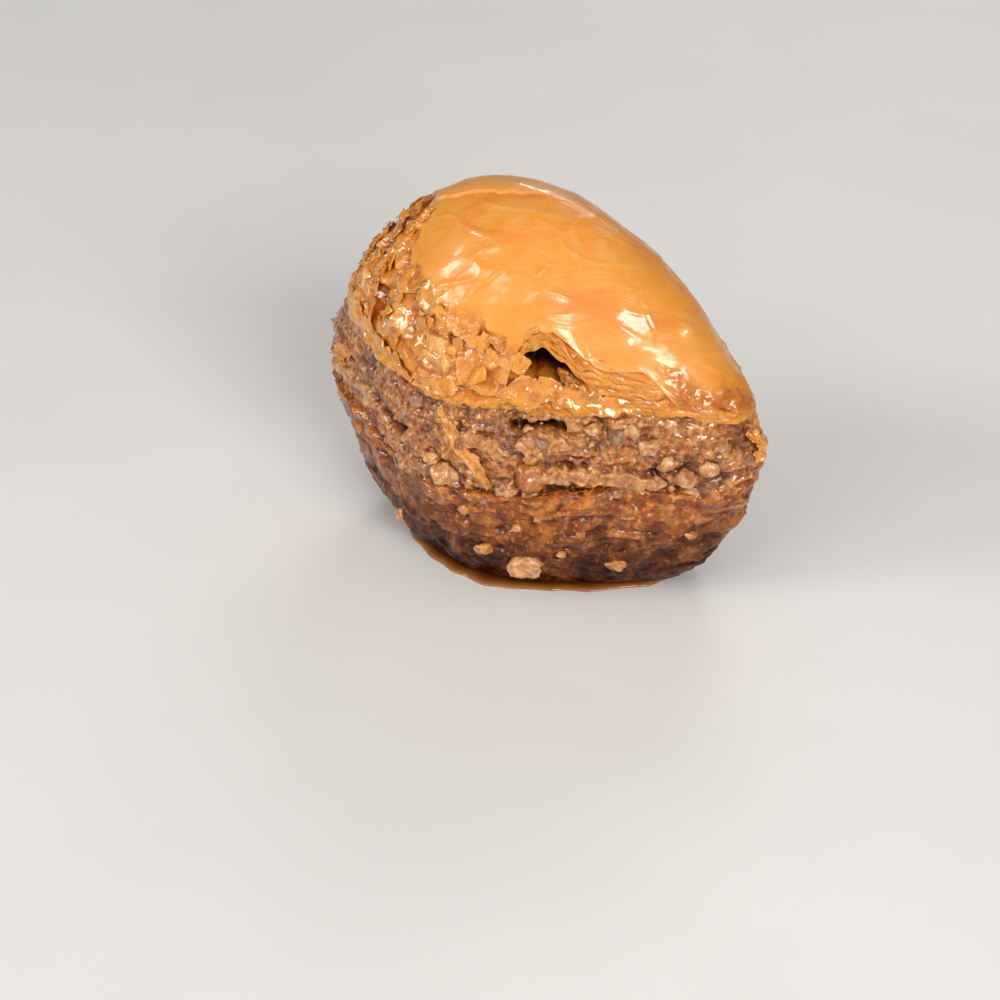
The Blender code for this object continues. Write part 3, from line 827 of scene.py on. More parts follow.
def leaf_edges(degrees):
    """The heights of the leaves' lower edges, from the outer skin down to the filling."""
    skin = around(SKIN_EDGE, degrees) * MM
    trend = sum(around(SKIN_EDGE, degrees + turn) for turn in (-20, -10, 0, 10, 20)) * MM / 5.0
    bottom = around(FILLING_TOP, degrees) * MM
    torn = around(TORN_SIDE, degrees)
    nick = np.maximum(wobble(degrees, 0.0, 1.3 * MM, 41) - 0.2, 0.0)
    heights = [skin + ((0.24 + 0.6 * torn) * wobble(degrees, 0.0, 3.4 * MM, 31) + 0.9 * nick) * MM]
    for leaf in range(1, LEAVES):
        place = np.clip(leaf + 1.5 * wobble(degrees, leaf * 13.0 * MM, 7.0 * MM, 30), 0.0, LEAVES - 0.9)
        height = trend + (bottom - trend) * place / (LEAVES - 0.6)
        ragged = (0.12 + 0.35 * max(wobble(np.zeros(1), leaf * 7.0 * MM, 5.0 * MM, 40)[0], 0.0)) * MM
        height = height + 1.5 * ragged * wobble(degrees, leaf * 9.0 * MM, 2.6 * MM, 31)
        height = height + ragged * wobble(degrees, leaf * 9.0 * MM, 0.9 * MM, 32)
        notch = np.maximum(wobble(degrees, leaf * 9.0 * MM, 2.4 * MM, 36) - 0.25, 0.0)
        height = height + 1.6 * MM * notch
        if leaf <= LIFTED_LEAF:
            arch = around(ARCH_LIP, degrees) * MM + (LIFTED_LEAF - leaf) * 0.33 * MM
            arch = arch + 0.3 * ragged * wobble(degrees, leaf * 9.0 * MM, 0.9 * MM, 32)
            height = height + (arch - height) * eased(lift_at(degrees) * 2.2)
        heights.append(height)
    return heights


def leaf_rows(degrees, edge, leaf):
    """One leaf's outer and inner side, from its edge up to where the leaf above hides it."""
    torn = eased(around(TORN_SIDE, degrees) * 1.7)
    lift = eased(lift_at(degrees) * 1.8)
    reach = (2.6 + 0.6 * torn) * MM
    flare = 0.05 + 0.45 * wobble(degrees, leaf * 6.0 * MM, 3.6 * MM, 33)
    flare = (flare + 0.40 * wobble(degrees, leaf * 6.0 * MM, 1.2 * MM, 34)) * MM
    tuck = (1.1 + 1.3 * torn) * MM
    if leaf < LEAVES - 3:
        flare = flare - 2.2 * MM * torn
    if leaf == LIFTED_LEAF + 1:
        tuck = tuck + ARCH_DEPTH * lift
        reach = reach * (1.0 - 0.93 * lift)
    elif leaf > LIFTED_LEAF:
        flare = flare - 0.25 * MM * lift
        edge = edge - 1.5 * MM * lift
    else:
        flare = flare + (0.2 + 0.08 * leaf) * MM * lift
    outer, inner = [], []
    for row in range(LEAF_ROWS + 1):
        share = 1.0 - row / LEAF_ROWS
        height = edge + reach * (1.0 - share)
        relief = flare * share ** 1.5 - tuck * (1.0 - share) ** 1.2
        relief = relief + 0.08 * MM * wobble(degrees, height + leaf * 4.0 * MM, 1.0 * MM, 37)
        outer.append(side(degrees, height, relief))
        inner.append(side(degrees, height, relief - LEAF_THICKNESS))
    return np.array(outer + inner[::-1])


def joined(name, meshes):
    """Several meshes as one, with their attributes kept."""
    whole = bmesh.new()
    for mesh in meshes:
        whole.from_mesh(mesh)
        bpy.data.meshes.remove(mesh)
    made = bpy.data.meshes.new(name)
    whole.to_mesh(made)
    whole.free()
    made.shade_smooth()
    return made


filo_surface = baked_filo("baked_filo", 0.0)
around_leaves = directions(LEAF_COLUMNS)
leaf_lines = leaf_edges(around_leaves)
leaf_meshes = []
for leaf in range(1, LEAVES):
    rows = leaf_rows(around_leaves, leaf_lines[leaf], leaf)
    mesh = wrapped_mesh(f"leaf_{leaf}", rows, looped=True)
    nearness = np.zeros(rows.shape[:2])
    nearness[0] = 1.0
    nearness[-1] = 1.0
    nearness[1] = 0.3
    own_attribute(mesh, "edge", nearness)
    shade = np.tile(0.5 + 0.9 * wobble(around_leaves, leaf * 8.0 * MM, 6 * MM, 42), (len(rows), 1))
    own_attribute(mesh, "shade", shade)
    # Painted shade: deep darkens each leaf from its edge in to where the leaf above hides it, and the arch's
    # floor most.
    way_in = np.linspace(0.0, 1.0, LEAF_ROWS + 1)
    inside = np.tile(np.append(way_in ** 0.7 * 0.6, 0.6 - 0.2 * way_in)[:, None], (1, LEAF_COLUMNS))
    if leaf == LIFTED_LEAF + 1:
        arch_floor_painted_shade = np.append(0.9 * way_in ** 2.5, 0.9 + 0.0 * way_in)[:, None]
        inside += (arch_floor_painted_shade - inside) * eased(lift_at(around_leaves) * 2.4)
    own_attribute(mesh, "deep", np.minimum(inside, 1.0))
    leaf_meshes.append(mesh)
crust_leaves = placed(joined("crust_leaves", leaf_meshes), filo_surface)
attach(crust_leaves, "root")
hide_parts("filo_crust")


# The puffed inside of the crust, behind the leaves' edges: buttered leaves that crumpled and
# stuck together as they baked. It is what the arch's opening ends at.

ARCH_FLOOR = 28.6 * MM
CORE_COLUMNS = 240
CORE_ROWS = 24

core_columns = directions(CORE_COLUMNS)
core_skin = around(SKIN_EDGE, core_columns) * MM + 2.0 * MM
core_low = around(FILLING_TOP, core_columns) * MM - 0.2 * MM
core_rows = [side(core_columns, core_low, share=0.7)]
for share in np.linspace(0.0, 1.0, CORE_ROWS):
    height = core_low + (core_skin - core_low) * share
    crumple = 0.7 * wobble(core_columns, height, 2.6 * MM, 38)
    crumple = crumple + 0.3 * wobble(core_columns, height, 1.1 * MM, 39)
    hollow = ARCH_DEPTH * eased(lift_at(core_columns) * 1.8) * eased((height - ARCH_FLOOR) / (1.5 * MM))
    core_rows.append(side(core_columns, height, (crumple - 1.9) * MM - hollow))
core_rows.append(side(core_columns, core_skin, share=0.6))
core_mesh = wrapped_mesh("crust_inside", np.array(core_rows), below=(0, 0, 27 * MM),
                         above=(-2 * MM, 0, 38 * MM))
own_attribute(core_mesh, "edge", np.zeros(len(core_mesh.vertices)))
# Painted shade: the inside is half darkened all round, and fully in the arch's opening.
inside = np.tile(0.5 + 0.5 * eased(lift_at(core_columns) * 2.0), (CORE_ROWS + 2, 1))
own_attribute(core_mesh, "deep", np.append(inside, (0.5, 0.5)))
core = placed(core_mesh, filo_surface)
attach(core, "root")
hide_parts("filo_crust")


# The skin: the top sheets, which puffed into one smooth dome and were brushed with syrup. It has
# soft folds, a thin split and a second sheet on its high end. At the left it tore off, and the
# sheets under it crumpled into flat tilted facets like foil, which the glaze ran over.

SKIN_COLUMNS = 600
SKIN_ROWS = 150
SKIN_RIM = ((0.9, 1.6, 0.0), (0.25, 0.7, 0.0), (0.0, 0.12, 0.6))
TORN_LOW = ((97, 0.0), (114, 1.0), (200, 1.0), (250, 1.0), (264, 0.0),
            (307, 0.0), (316, 0.9), (331, 0.9), (342, 0.0))


def glazed_skin():
    """Baked filo under syrup: satin gold where it is smooth, wet caramel where it is crumpled."""
    surface, place = started("glazed_skin")
    crumpled = own_value(place, "crumpled")
    bands = grain(stretched(place, (0.30, 0.9, 1.2), (0.2, 0.35, 0.3)), 7 * MM, 3.0, 1.6)
    clouds = grain(place, 3.5 * MM, 3.0, 0.8)
    specks = grain(place, 0.7 * MM, 3.0, 0.3)
    fine = grain(place, 0.25 * MM, 2.0)
    fibres = grain(stretched(place, (0.16, 1.0, 1.0), (0.2, 0.3, 0.5)), 0.5 * MM, 2.0)
    gold = clouds.between(0.34, 0.68).colour((0.920, 0.390, 0.052, 1), (0.950, 0.460, 0.082, 1))
    streaks = (bands * 0.85 + clouds * 0.15).between(0.50, 0.68) * 0.7
    smooth = streaks.colour(gold, (0.860, 0.275, 0.022, 1))
    right = place.node("ShaderNodeSeparateXYZ", None, {"Vector": place}, "X").between(0.0, 6 * MM)
    tone = own_value(place, "shade") * 0.5 + clouds * 0.45 + specks * 0.35 - 0.15 - right * 0.28
    caramel = tone.between(0.12, 0.80).ramp(
        (0.0, (0.560, 0.165, 0.010, 1)), (0.35, (0.760, 0.260, 0.021, 1)),
        (0.70, (0.890, 0.370, 0.046, 1)), (1.0, (0.950, 0.480, 0.110, 1)))
    colour = crumpled.colour(smooth, caramel)
    colour = own_value(place, "edge").colour(colour, (0.900, 0.520, 0.200, 1))
    colour = painted_hollow_shade(place, colour, (0.93, 0.84, 0.76, 1), (0.68, 0.38, 0.13, 1))
    roughness = 0.32 + specks * 0.25 + crumpled * 0.05
    coat = 0.15 + 0.60 * clouds.between(0.46, 0.60) + crumpled * (0.8 - 0.75 * right)
    fixed = {"Coat Roughness": 0.11, "Subsurface Weight": 0.2, "Subsurface Radius": (1.0, 0.35, 0.08),
             "Subsurface Scale": 1.2 * MM, "IOR": 1.42, "Coat IOR": 1.65}
    gritty = specks * (0.10 + crumpled * 0.22)
    foil = (crystals(place, 1.8 * MM) * 1.2 + crystals(place, 0.8 * MM) * 0.6) * crumpled
    bumps = [(clouds, 0.12 * MM, 0.35), (foil, 0.9, 0.9), (gritty, 0.22 * MM, 0.9),
             (fibres, 0.08 * MM, 0.9), (fine, 0.055 * MM, 0.9)]
    return finished(surface, place, colour, roughness, coat, fixed, bumps)


SPLIT = ((11.9, -11.6, 39.6), (12.2, -12.5, 38.3), (12.9, -13.2, 37.2), (12.6, -13.8, 36.0),
         (12.6, -14.4, 34.6))
RIDGES = (((-8.4, -9.5, 40.4), (-6.6, -9.4, 41.7), (-5.0, -8.9, 42.9)),
          ((-0.9, -10.1, 42.8), (0.4, -9.1, 43.8)),
          ((0.7, -1.4, 48.8), (-0.3, -0.8, 49.0)),
          ((0.7, -1.4, 48.8), (1.9, -1.6, 48.7)),
          ((0.7, -1.4, 48.8), (0.9, -2.6, 48.4)),
          ((-11.6, -9.9, 36.0), (-9.4, -11.4, 36.4)))
UNDER_CRUMB = (17.2, -11.9, 36.2)
SECOND_SHEET_EDGE = ((167.5, 45.9), (175.5, 47.4), (189, 48.6), (240, 49.0), (316, 49.0), (333, 48.6),
                     (342, 46.8))


def smooth_relief(points, shares):
    """How far the smooth dome stands out along its own normal, in millimetres."""
    puffs = 0.24 * noise_at(points, 7.0 * MM, 51) + 0.06 * noise_at(points, 3.2 * MM, 52)
    slanted = points @ np.array(((0.5, 0.1, 0.2), (0.1, 1.0, 0.3), (-0.35, 0.3, 1.2)))
    fold = 1.0 - np.abs(noise_at(slanted, 5.5 * MM, 53)) * 5.0
    creased = eased(0.4 + 1.5 * noise_at(points, 9 * MM, 54))
    relief = puffs + 0.17 * np.maximum(fold, 0.0) ** 2 * creased
    fold = 1.0 - np.abs(noise_at(slanted, 2.4 * MM, 50)) * 5.0
    relief = relief + 0.06 * np.maximum(fold, 0.0) ** 2 * eased(0.3 + 1.8 * noise_at(points, 7 * MM, 49))
    gap, along = near_line(points, SPLIT)
    relief = relief - 0.30 * np.exp(-((gap / (0.16 * MM)) ** 2)) * eased(along * 6.0)
    relief = relief + 0.12 * np.exp(-((gap / (0.55 * MM)) ** 2))
    for ridge in RIDGES:
        gap, along = near_line(points, ridge)
        relief = relief + 0.13 * np.exp(-((gap / (0.28 * MM)) ** 2))
    away = np.linalg.norm(points - np.array(UNDER_CRUMB) * MM, axis=-1)
    relief = relief + 0.5 * np.exp(-((away / (1.0 * MM)) ** 2))
    return relief * eased((1.0 - shares) * 8.0)


def second_sheet(points):
    """Where a second sheet lies over the dome's high end, from 0 to 1, with a torn front edge."""
    edge = np.array([side(float(turn), rise * MM) for turn, rise in SECOND_SHEET_EDGE])
    wave = 0.5 * MM * noise_at(points, 1.6 * MM, 57)
    front = np.interp(points[..., 0], edge[:, 0], edge[:, 1]) + wave
    left = edge[0, 0] - 0.4 * MM + wave
    fade = 1.0 - eased((points[..., 0] + 4 * MM) / (10 * MM))
    return eased((points[..., 1] - front) / (0.3 * MM)) * eased((points[..., 0] - left) / (0.3 * MM)) * fade


def crumpled_relief(points):
    """The glazed facets' relief in millimetres, and each facet's own shade."""
    slanted = points @ np.array(((1.0, 0.0, 0.35), (0.0, 1.0, 0.25), (-0.3, -0.2, 1.0)))
    large = facets_at(slanted, 2.9 * MM, 91)
    small = facets_at(slanted, 1.3 * MM, 92)
    swell = noise_at(points, 5 * MM, 94)
    relief = 1.35 * large + 0.34 * small + 0.6 * swell - 0.35
    grains = 0.45 * noise_at(points, 2.2 * MM, 97) + 0.32 * small + 0.30 * noise_at(points, 0.75 * MM, 98)
    grainy = eased(points[..., 0] / (6 * MM))
    return relief + (grains - relief) * grainy, 0.5 + 0.7 * large * (1.0 - 0.6 * grainy) + 0.4 * small


around_skin = directions(SKIN_COLUMNS)
skin_line = leaf_edges(around_skin)[0]
ragged = 0.9 + 0.9 * wobble(around_skin, 0.0, 2.6 * MM, 58) + 0.45 * wobble(around_skin, 0.0, 1.0 * MM, 59)
torn_line = around(FILLING_TOP, around_skin) * MM + ragged * MM
low_line = skin_line + (torn_line - skin_line) * around(TORN_LOW, around_skin)
skin_start = np.arcsin((low_line - BULGE_HEIGHT) / (HEIGHT - BULGE_HEIGHT))
torn = eased(around(TORN_SIDE, around_skin) * 1.7)
skin_rows = []
skin_shares = []
for tucked_up, set_back, _ in SKIN_RIM:
    skin_rows.append(side(around_skin, low_line + tucked_up * MM, -set_back * MM - 0.6 * MM * torn))
    skin_shares.append(0.0 * around_skin)
for row in range(SKIN_ROWS):
    share = (row / SKIN_ROWS) ** 1.15
    angle = skin_start + (math.pi / 2.0 - skin_start) * share
    height = BULGE_HEIGHT + (HEIGHT - BULGE_HEIGHT) * np.sin(angle)
    lip = 0.16 * MM * np.exp(-share * 40.0) * (1.0 + wobble(around_skin, 0.0, 4.0 * MM, 55)) * (1.0 - torn)
    waves = 0.35 * MM * wobble(around_skin, height, 9.0 * MM, 35) * (1.0 - share)
    skin_rows.append(side(around_skin, height, waves + lip))
    skin_shares.append(share + 0.0 * around_skin)
skin_mesh = wrapped_mesh("crust_skin", np.array(skin_rows),
                         above=(MIDDLE - LEAN_LEFT, MIDDLE + LEAN_BACK, HEIGHT))
count = len(skin_mesh.vertices)
spots = np.empty(count * 3)
skin_mesh.vertices.foreach_get("co", spots)
ways = np.empty(count * 3)
skin_mesh.vertices.foreach_get("normal", ways)
spots = spots.reshape(-1, 3)
ways = ways.reshape(-1, 3)
shares = np.append(np.array(skin_shares).ravel(), 1.0)
held = [share for _, _, share in SKIN_RIM] + [1.0] * SKIN_ROWS
held = np.append(np.repeat(held, SKIN_COLUMNS), 1.0)
turns = np.append(np.tile(around_skin, len(skin_rows)), 0.0)
wander = 1.2 + 1.8 * noise_at(spots, 4.5 * MM, 95) + 0.9 * noise_at(spots, 1.7 * MM, 96)
under_edge = (around(SKIN_EDGE, turns) + wander) * MM - spots[:, 2]
crumpled = eased(around(TORN_SIDE, turns) * 1.7) * eased(under_edge / (2.6 * MM))
facets, tones = crumpled_relief(spots)
sheet = second_sheet(spots)
relief = smooth_relief(spots, shares) * (1.0 - crumpled) + facets * crumpled + 0.32 * sheet
skin_mesh.vertices.foreach_set("co", (spots + ways * (relief * held * MM)[:, None]).ravel())
skin_mesh.update()
away = np.linalg.norm(spots - np.array(UNDER_CRUMB) * MM, axis=-1)
pale = 0.45 * np.exp(-((away / (0.9 * MM)) ** 2)) + 0.5 * np.exp(-shares * 70.0) * held * (1.0 - crumpled)
own_attribute(skin_mesh, "edge", pale + 0.3 * sheet + 0.9 * sheet * (1.0 - sheet))
own_attribute(skin_mesh, "crumpled", crumpled)
# Painted shade in the creases and between the crumpled facets, stored as the hollow attribute.
creased = (relief * (0.35 + 0.65 * crumpled))[:-1].reshape(len(skin_rows), SKIN_COLUMNS)
own_attribute(skin_mesh, "hollow", np.append(painted_shade_map(creased, 1.1), 0.5))
own_attribute(skin_mesh, "shade", np.clip(tones, 0.0, 1.0))
glaze_surface = glazed_skin()
skin = placed(skin_mesh, glaze_surface)
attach(skin, "root")
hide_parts("filo_crust")


# Loose leaves: strips of the inner sheets that came off with the skin, or hang down over the paste.
# They lie glued on by the syrup, with frayed edges and lifted rims.

DEGREE_LENGTH = 0.40
RIBBON_STEPS = 84
RIBBON_COLUMNS = 11

wet_filo = baked_filo("wet_filo", 0.75)


def two_sided(name, outer, inner):
    """A thin sheet from its outer and inner grid of points, closed round the rim."""
    along, across = outer.shape[:2]
    points = np.concatenate((outer.reshape(-1, 3), inner.reshape(-1, 3)))
    under = along * across
    faces = []
    for i in range(along - 1):
        for j in range(across - 1):
            a = i * across + j
            quad = (a, a + across, a + across + 1, a + 1)
            faces.append(quad)
            faces.append(tuple(under + k for k in quad[::-1]))
    rim = list(range(across))
    rim += [i * across + across - 1 for i in range(1, along)]
    rim += [(along - 1) * across + j for j in range(across - 2, -1, -1)]
    rim += [i * across for i in range(along - 2, 0, -1)]
    for here, there in zip(rim, rim[1:] + rim[:1]):
        faces.append((here, there, there + under, here + under))
    mesh = bpy.data.meshes.new(name)
    mesh.from_pydata(points.tolist(), [], faces)
    mesh.shade_smooth()
    rims = np.zeros(len(points))
    rims[rim] = 1.0
    rims[[k + under for k in rim]] = 1.0
    own_attribute(mesh, "edge", rims)
    return mesh


def ribbon(name, path, wide, stand, curl, shade, seed):
    """A loose leaf laid along (direction, height) stops, with ragged long edges and lifted rims."""
    along = np.linspace(0.0, 1.0, RIBBON_STEPS)
    stops = np.linspace(0.0, 1.0, len(path))
    turn = np.interp(along, stops, [stop[0] for stop in path])
    rise = np.interp(along, stops, [stop[1] for stop in path])
    ways = np.stack((np.gradient(turn) * DEGREE_LENGTH, np.gradient(rise)), -1)
    ways = ways / np.linalg.norm(ways, axis=-1, keepdims=True)
    taper = np.minimum(1.0, 4.0 * np.minimum(along, 1.0 - along) + 0.25) ** 0.6
    across = np.linspace(-1.0, 1.0, RIBBON_COLUMNS)
    spots = np.stack(np.broadcast_arrays(along[:, None] * 3.0, np.sign(across) * 2.0, seed * 1.7), -1)
    notches = np.maximum(noise_at(spots, 0.13, seed + 9) - 0.25, 0.0)
    frayed = 0.5 * noise_at(spots, 0.6, seed) + 0.3 * noise_at(spots, 0.2, seed)
    frayed = frayed + 0.2 * noise_at(spots, 0.08, seed)
    half = wide * taper[:, None] * (1.0 + frayed - 1.2 * notches)
    off = half * across
    degrees = turn[:, None] - ways[:, 1:] * off / DEGREE_LENGTH
    heights = (rise[:, None] + ways[:, :1] * off) * MM
    spots = np.stack(np.broadcast_arrays(along[:, None] * 4.0, across, seed * 2.3), -1)
    relief = stand + curl * np.abs(across) ** 3 + 0.42 * noise_at(spots, 0.7, seed + 5)
    relief = (relief + 0.32 * noise_at(spots, 0.3, seed + 6) + 0.14 * noise_at(spots, 0.13, seed + 7)) * MM
    mesh = two_sided(name, side(degrees, heights, relief), side(degrees, heights, relief - LEAF_THICKNESS))
    tones = shade - 0.15 + 0.8 * noise_at(spots, 0.6, seed + 8) + 0.4 * noise_at(spots, 0.25, seed + 8)
    own_attribute(mesh, "shade", np.tile(tones.ravel(), 2))
    own_attribute(mesh, "deep", np.zeros(len(mesh.vertices)))
    return mesh


def loose_leaves(name, leaves):
    """Several ribbons as one piece, each given by its path and the rest of what ribbon takes."""
    meshes = [ribbon(f"{name}_{order}", *leaf, order + 11) for order, leaf in enumerate(leaves)]
    made = placed(joined(name, meshes), wet_filo)
    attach(made, "root")
    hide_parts("filo_crust")


GLAZED_LEAVES = ((((160, 31.3), (170, 30.2), (180, 29.2), (195, 28.7), (211, 28.2)), 1.2, 0.25, 0.2, 0.8),
                 (((226, 26.2), (231, 24.0), (236, 21.9), (243, 19.0), (248, 16.6)), 1.0, -0.15, 0.2, 0.6),
                 (((163, 33.0), (165, 35.5), (165, 37.5)), 1.0, 0.05, 0.4, 0.7),
                 (((172, 34.5), (174, 37.5), (173, 40.0)), 0.9, 0.20, 0.4, 0.5),
                 (((172, 42.0), (174, 44.0), (172, 45.8)), 0.8, 0.10, 0.4, 0.8),
                 (((157, 34.0), (159, 37.0), (158, 40.0)), 0.9, 0.10, 0.4, 0.6),
                 (((279, 33.0), (282, 31.9), (286, 31.2)), 0.7, 0.1, 0.8, 0.1),
                 (((327, 24.6), (330, 22.8), (328.5, 20.2)), 0.8, 0.1, 0.3, 0.8),
                 (((161, 21.0), (164, 22.8), (169, 24.2)), 1.0, -0.1, 0.5, 0.7),
                 (((118, 31.0), (128, 30.4), (140, 31.0), (152, 30.6)), 1.3, 0.2, 0.3, 0.8))
APRONS = ((((253, 29.4), (262, 30.0), (272, 30.3), (283, 29.6), (296, 28.7), (308, 28.6)),
           1.7, 0.15, 0.3, 0.6),
          (((8, 28.6), (22, 28.9), (38, 28.5)), 1.3, 0.1, 0.3, 0.5),
          (((64, 28.6), (78, 29.2), (92, 29.6)), 1.4, 0.1, 0.3, 0.6))
loose_leaves("glazed_leaves", GLAZED_LEAVES)
loose_leaves("crust_aprons", APRONS)


# Broken flakes: where the skin tore off at the left, flakes of the sheets under it set in the
# glaze at all angles. Thinner shards of dry leaf lie among them and along the rest of the side.

FLAKE_HALF_THICKNESS = 0.022
CHIP_COLUMNS = 25
CHIP_SIDES = 5


def flake_mesh(name, seed):
    """A shard of filo about 1 across, bent two ways, with an uneven outline and two sides."""
    draw = random.Random(seed)
    bend = draw.uniform(-0.7, 0.4)
    twist = draw.uniform(-0.35, 0.35)
    wide = draw.uniform(0.45, 0.8)
    u, v = np.meshgrid(np.linspace(-0.5, 0.5, 6), np.linspace(-0.5, 0.5, 5), indexing="ij")
    spots = np.stack((u, v, 0.0 * u), -1)
    x = u * (1.0 + 0.35 * noise_at(spots, 0.6, seed)) + 0.15 * v
    y = v * wide * (1.0 + 0.35 * noise_at(spots, 0.5, seed + 1))
    z = bend * u * u + twist * u * v * 2.0 + 0.07 * noise_at(spots, 0.3, seed + 2)
    outer = np.stack((x, y, z + FLAKE_HALF_THICKNESS), -1)
    inner = np.stack((x, y, z - FLAKE_HALF_THICKNESS), -1)
    return two_sided(name, outer, inner)


def chip_mesh(name, seed):
    """A torn flake about 1 across with straight uneven sides, bent, its rim rounded by glaze."""
    draw = random.Random(seed)
    turn = np.radians(directions(CHIP_COLUMNS))
    reach = np.full(CHIP_COLUMNS, 0.6)
    for number in range(CHIP_SIDES):
        way = math.tau * (number + draw.uniform(-0.3, 0.3)) / CHIP_SIDES
        reach = np.minimum(reach, draw.uniform(0.28, 0.48) / np.maximum(np.cos(turn - way), 0.2))
    bend = draw.uniform(-0.7, 0.5)
    twist = draw.uniform(-0.6, 0.6)
    thick = draw.uniform(0.024, 0.045)
    rows = []
    for share, level in ((0.55, -1.0), (0.85, -0.95), (0.98, -0.5), (0.98, 0.5), (0.85, 0.95), (0.55, 1.0)):
        x = reach * share * np.cos(turn)
        y = reach * share * np.sin(turn)
        wave = 0.06 * noise_at(np.stack((x, y, 0.0 * x), -1), 0.3, seed)
        rows.append(np.stack((x, y, level * thick + bend * x * x + twist * x * y + wave), -1))
    middle = 0.06 * noise_at(np.zeros((1, 3)), 0.3, seed)[0]
    mesh = wrapped_mesh(name, np.array(rows), below=(0, 0, middle - thick), above=(0, 0, middle + thick))
    own_attribute(mesh, "edge", np.zeros(len(mesh.vertices)))
    own_attribute(mesh, "deep", np.zeros(len(mesh.vertices)))
    return mesh


def shards(name, seed, shape, relief, spread, surface, **numbers):
    """Flakes of one shape strewn over the crust's side, thicker where spread is higher."""
    host = host_mesh(name + "_host", shard_grid, shard_heights, relief, spread)
    shapes = shapes_collection(name + "_shapes", [shape(f"{name}_{n}", seed + n) for n in range(9)])
    made = strewn(name, host, shapes, surface, Seed=seed, **numbers)
    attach(made, "root")
    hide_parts("filo_crust")


SHARD_COLUMNS = 240
SHARD_ROWS = 16

shard_grid = np.tile(directions(SHARD_COLUMNS), (SHARD_ROWS, 1))
skin_heights = around(SKIN_EDGE, shard_grid) * MM
low = around(FILLING_TOP, shard_grid) * MM
shard_heights = low + (skin_heights - low) * np.linspace(0.04, 0.97, SHARD_ROWS)[:, None]
torn_amount = eased(around(TORN_SIDE, shard_grid) * 1.6)
off_the_paste = (np.arange(SHARD_ROWS) > 2)[:, None]
left_side = torn_amount * (np.cos(np.radians(shard_grid)) < 0.1) * off_the_paste
side_amount = (1.0 - 0.8 * torn_amount) * (1.0 - eased(lift_at(shard_grid) * 2.5))
shards("glazed_chips", 3, chip_mesh, -0.1 * MM, left_side, wet_filo, Bits_per_area=135000.0,
       Smallest=1.4 * MM, Largest=4.6 * MM, Evenness=1.3, Sunk=-0.01, Tilt=(0.26, 0.26, 3.14))
shards("glazed_shards", 23, flake_mesh, 0.1 * MM, left_side, filo_surface, Bits_per_area=40000.0,
       Smallest=0.8 * MM, Largest=2.4 * MM, Evenness=1.2, Sunk=0.0, Tilt=(0.40, 0.40, 3.14))
shards("side_shards", 31, flake_mesh, -0.25 * MM, side_amount, filo_surface, Bits_per_area=110000.0,
       Smallest=0.7 * MM, Largest=2.4 * MM, Evenness=1.8, Sunk=0.0, Tilt=(0.45, 0.45, 3.14))


# The film of syrup: sugar and water boiled thick and poured over the hot tray. What the leaves
# didn't take up ran down and lies as a thin amber film round the foot.

def syrup():
    """Thick amber syrup, dark where it is deep."""
    surface, place = started("syrup")
    ripple = grain(place, 4 * MM, 1.0)
    deep = own_value(place, "depth")
    colour = deep.colour((0.640, 0.220, 0.022, 1), (0.060, 0.012, 0.0010, 1))
    fixed = {"IOR": 1.48, "Alpha": 0.42 + 0.55 * deep.between(0.05, 0.8)}
    return finished(surface, place, colour, 0.04, 1.0, fixed, [(ripple, 0.05 * MM, 0.2)])


FILM_COLUMNS = 240
FILM_PROFILE = ((0.02, -0.9, 1.0), (0.02, 0.90, 0.0), (0.08, 1.0, 0.0), (0.22, 1.0, 0.15),
                (0.36, 0.95, 0.3), (0.46, 0.86, 0.55), (0.50, 0.72, 0.8), (0.52, 0.50, 1.0),
                (0.62, 0.28, 1.0), (0.95, 0.10, 1.0), (1.45, -0.10, 1.0), (0.9, -0.9, 1.0))

film_columns = directions(FILM_COLUMNS)
film_reach = 3.9 + 0.9 * wobble(film_columns, 0.0, 12 * MM, 81) + 0.5 * wobble(film_columns, 0.0, 4 * MM, 82)
film_rows = []
film_depth = []
for height, out, depth in FILM_PROFILE:
    points = side(film_columns, 0.0, film_reach * out * MM if out > 0.0 else out * MM)
    points[:, 2] = height * MM
    film_rows.append(points)
    film_depth.append(np.full(FILM_COLUMNS, depth))
film_mesh = wrapped_mesh("syrup_film", np.array(film_rows), looped=True)
own_attribute(film_mesh, "depth", np.array(film_depth))
film = placed(film_mesh, syrup())
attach(film, "root")


# The studio: a pale floor, soft window lights, a long lens from above the front, and a faint
# light from all round.

def studio_floor():
    """Pale paper, almost even."""
    surface, place = started("pale_floor")
    fine = grain(place, 30 * MM, 2.0)
    colour = fine.between(0.3, 0.7).colour((0.88, 0.88, 0.87, 1), (0.90, 0.90, 0.89, 1))
    return finished(surface, place, colour, 0.55, 0.0, {"IOR": 1.4}, [(fine, 0.01 * MM, 0.1)])


FLOOR_HALF = 4.0
CAMERA_PITCH = 31.0

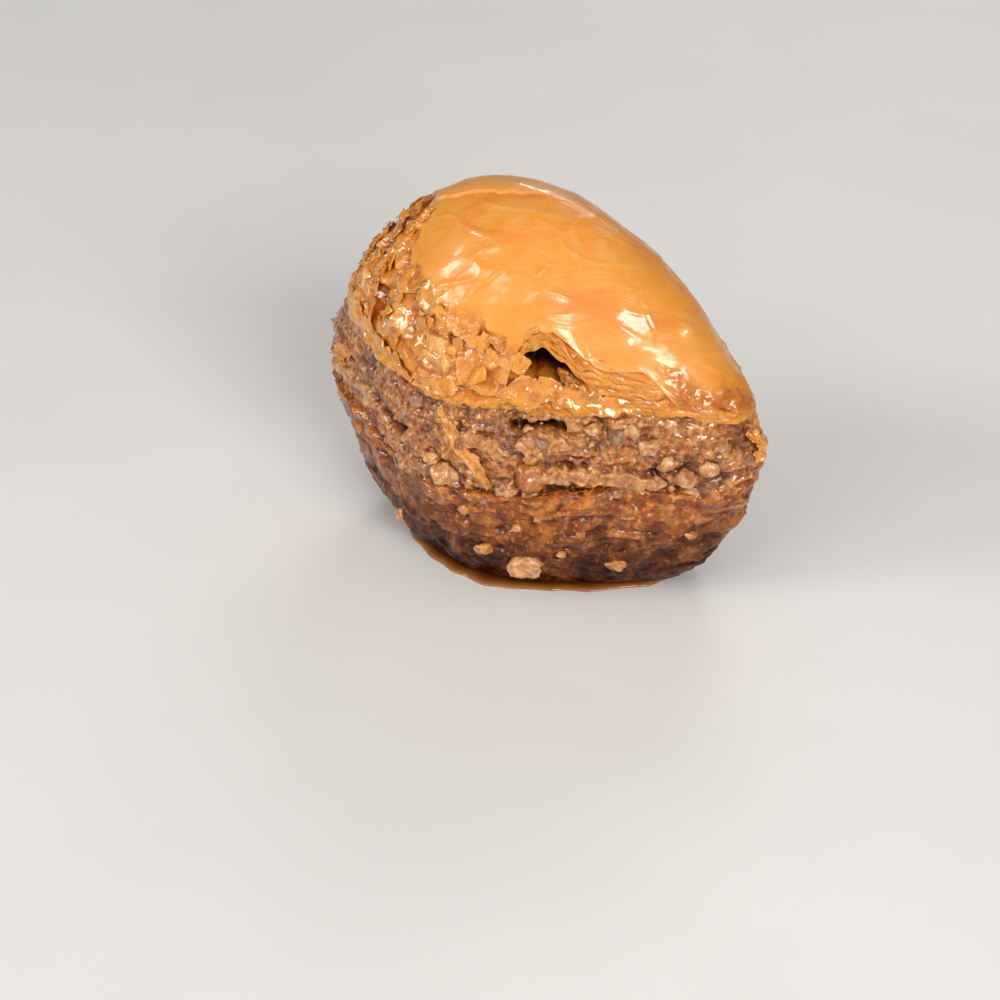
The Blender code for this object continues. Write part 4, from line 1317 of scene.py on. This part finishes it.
floor_corners = [(-FLOOR_HALF, -FLOOR_HALF, 0), (FLOOR_HALF, -FLOOR_HALF, 0), (FLOOR_HALF, FLOOR_HALF, 0),
                 (-FLOOR_HALF, FLOOR_HALF, 0)]
floor_mesh = bpy.data.meshes.new("studio_floor")
floor_mesh.from_pydata(floor_corners, [], [(0, 1, 2, 3)])
floor = placed(floor_mesh, studio_floor())


def softbox(name, way, distance, wide, tall, power, colour):
    """A soft light that looks at the piece from a direction."""
    light = bpy.data.lights.new(name, "AREA")
    light.shape = "RECTANGLE"
    light.size = wide
    light.size_y = tall
    light.energy = power
    light.color = colour
    thing = bpy.data.objects.new(name, light)
    way = Vector(way).normalized()
    thing.location = way * distance + Vector((0.0, 0.0, 0.025))
    thing.rotation_euler = way.to_track_quat("Z", "Y").to_euler()
    bpy.context.scene.collection.objects.link(thing)


softbox("key_window", (0.31, -0.80, 0.49), 0.75, 0.36, 0.20, 3.15, (1.0, 0.955, 0.90))
softbox("left_window", (-0.45, -0.66, 0.57), 0.75, 0.34, 0.22, 0.8, (1.0, 0.96, 0.91))
softbox("left_side", (-0.86, -0.27, 0.42), 0.75, 0.26, 0.26, 1.9, (1.0, 0.97, 0.93))
softbox("low_window", (0.30, -0.93, 0.16), 0.6, 0.06, 0.045, 0.27, (1.0, 0.96, 0.92))
softbox("overhead", (0.05, -0.10, 1.0), 0.8, 0.7, 0.5, 0.5, (1.0, 0.985, 0.96))
softbox("back_fill", (0.25, 0.9, 0.50), 0.9, 0.36, 0.24, 1.4, (1.0, 0.98, 0.95))

world = bpy.data.worlds.new("studio_air")
world.use_nodes = True
world.node_tree.nodes["Background"].inputs["Color"].default_value = (1.0, 0.985, 0.965, 1.0)
world.node_tree.nodes["Background"].inputs["Strength"].default_value = 0.19
bpy.context.scene.world = world
bpy.context.scene.view_settings.view_transform = "Standard"

camera_data = bpy.data.cameras.new("camera")
camera_data.lens = 120.0
camera_data.sensor_width = 36.0
camera_data.clip_start = 0.01
camera = bpy.data.objects.new("camera", camera_data)
camera.location = (-5.42 * MM, -367.9 * MM, 226.1 * MM)
camera.rotation_euler = (math.radians(90.0 - CAMERA_PITCH), 0.0, 0.0)
bpy.context.scene.collection.objects.link(camera)
bpy.context.scene.camera = camera
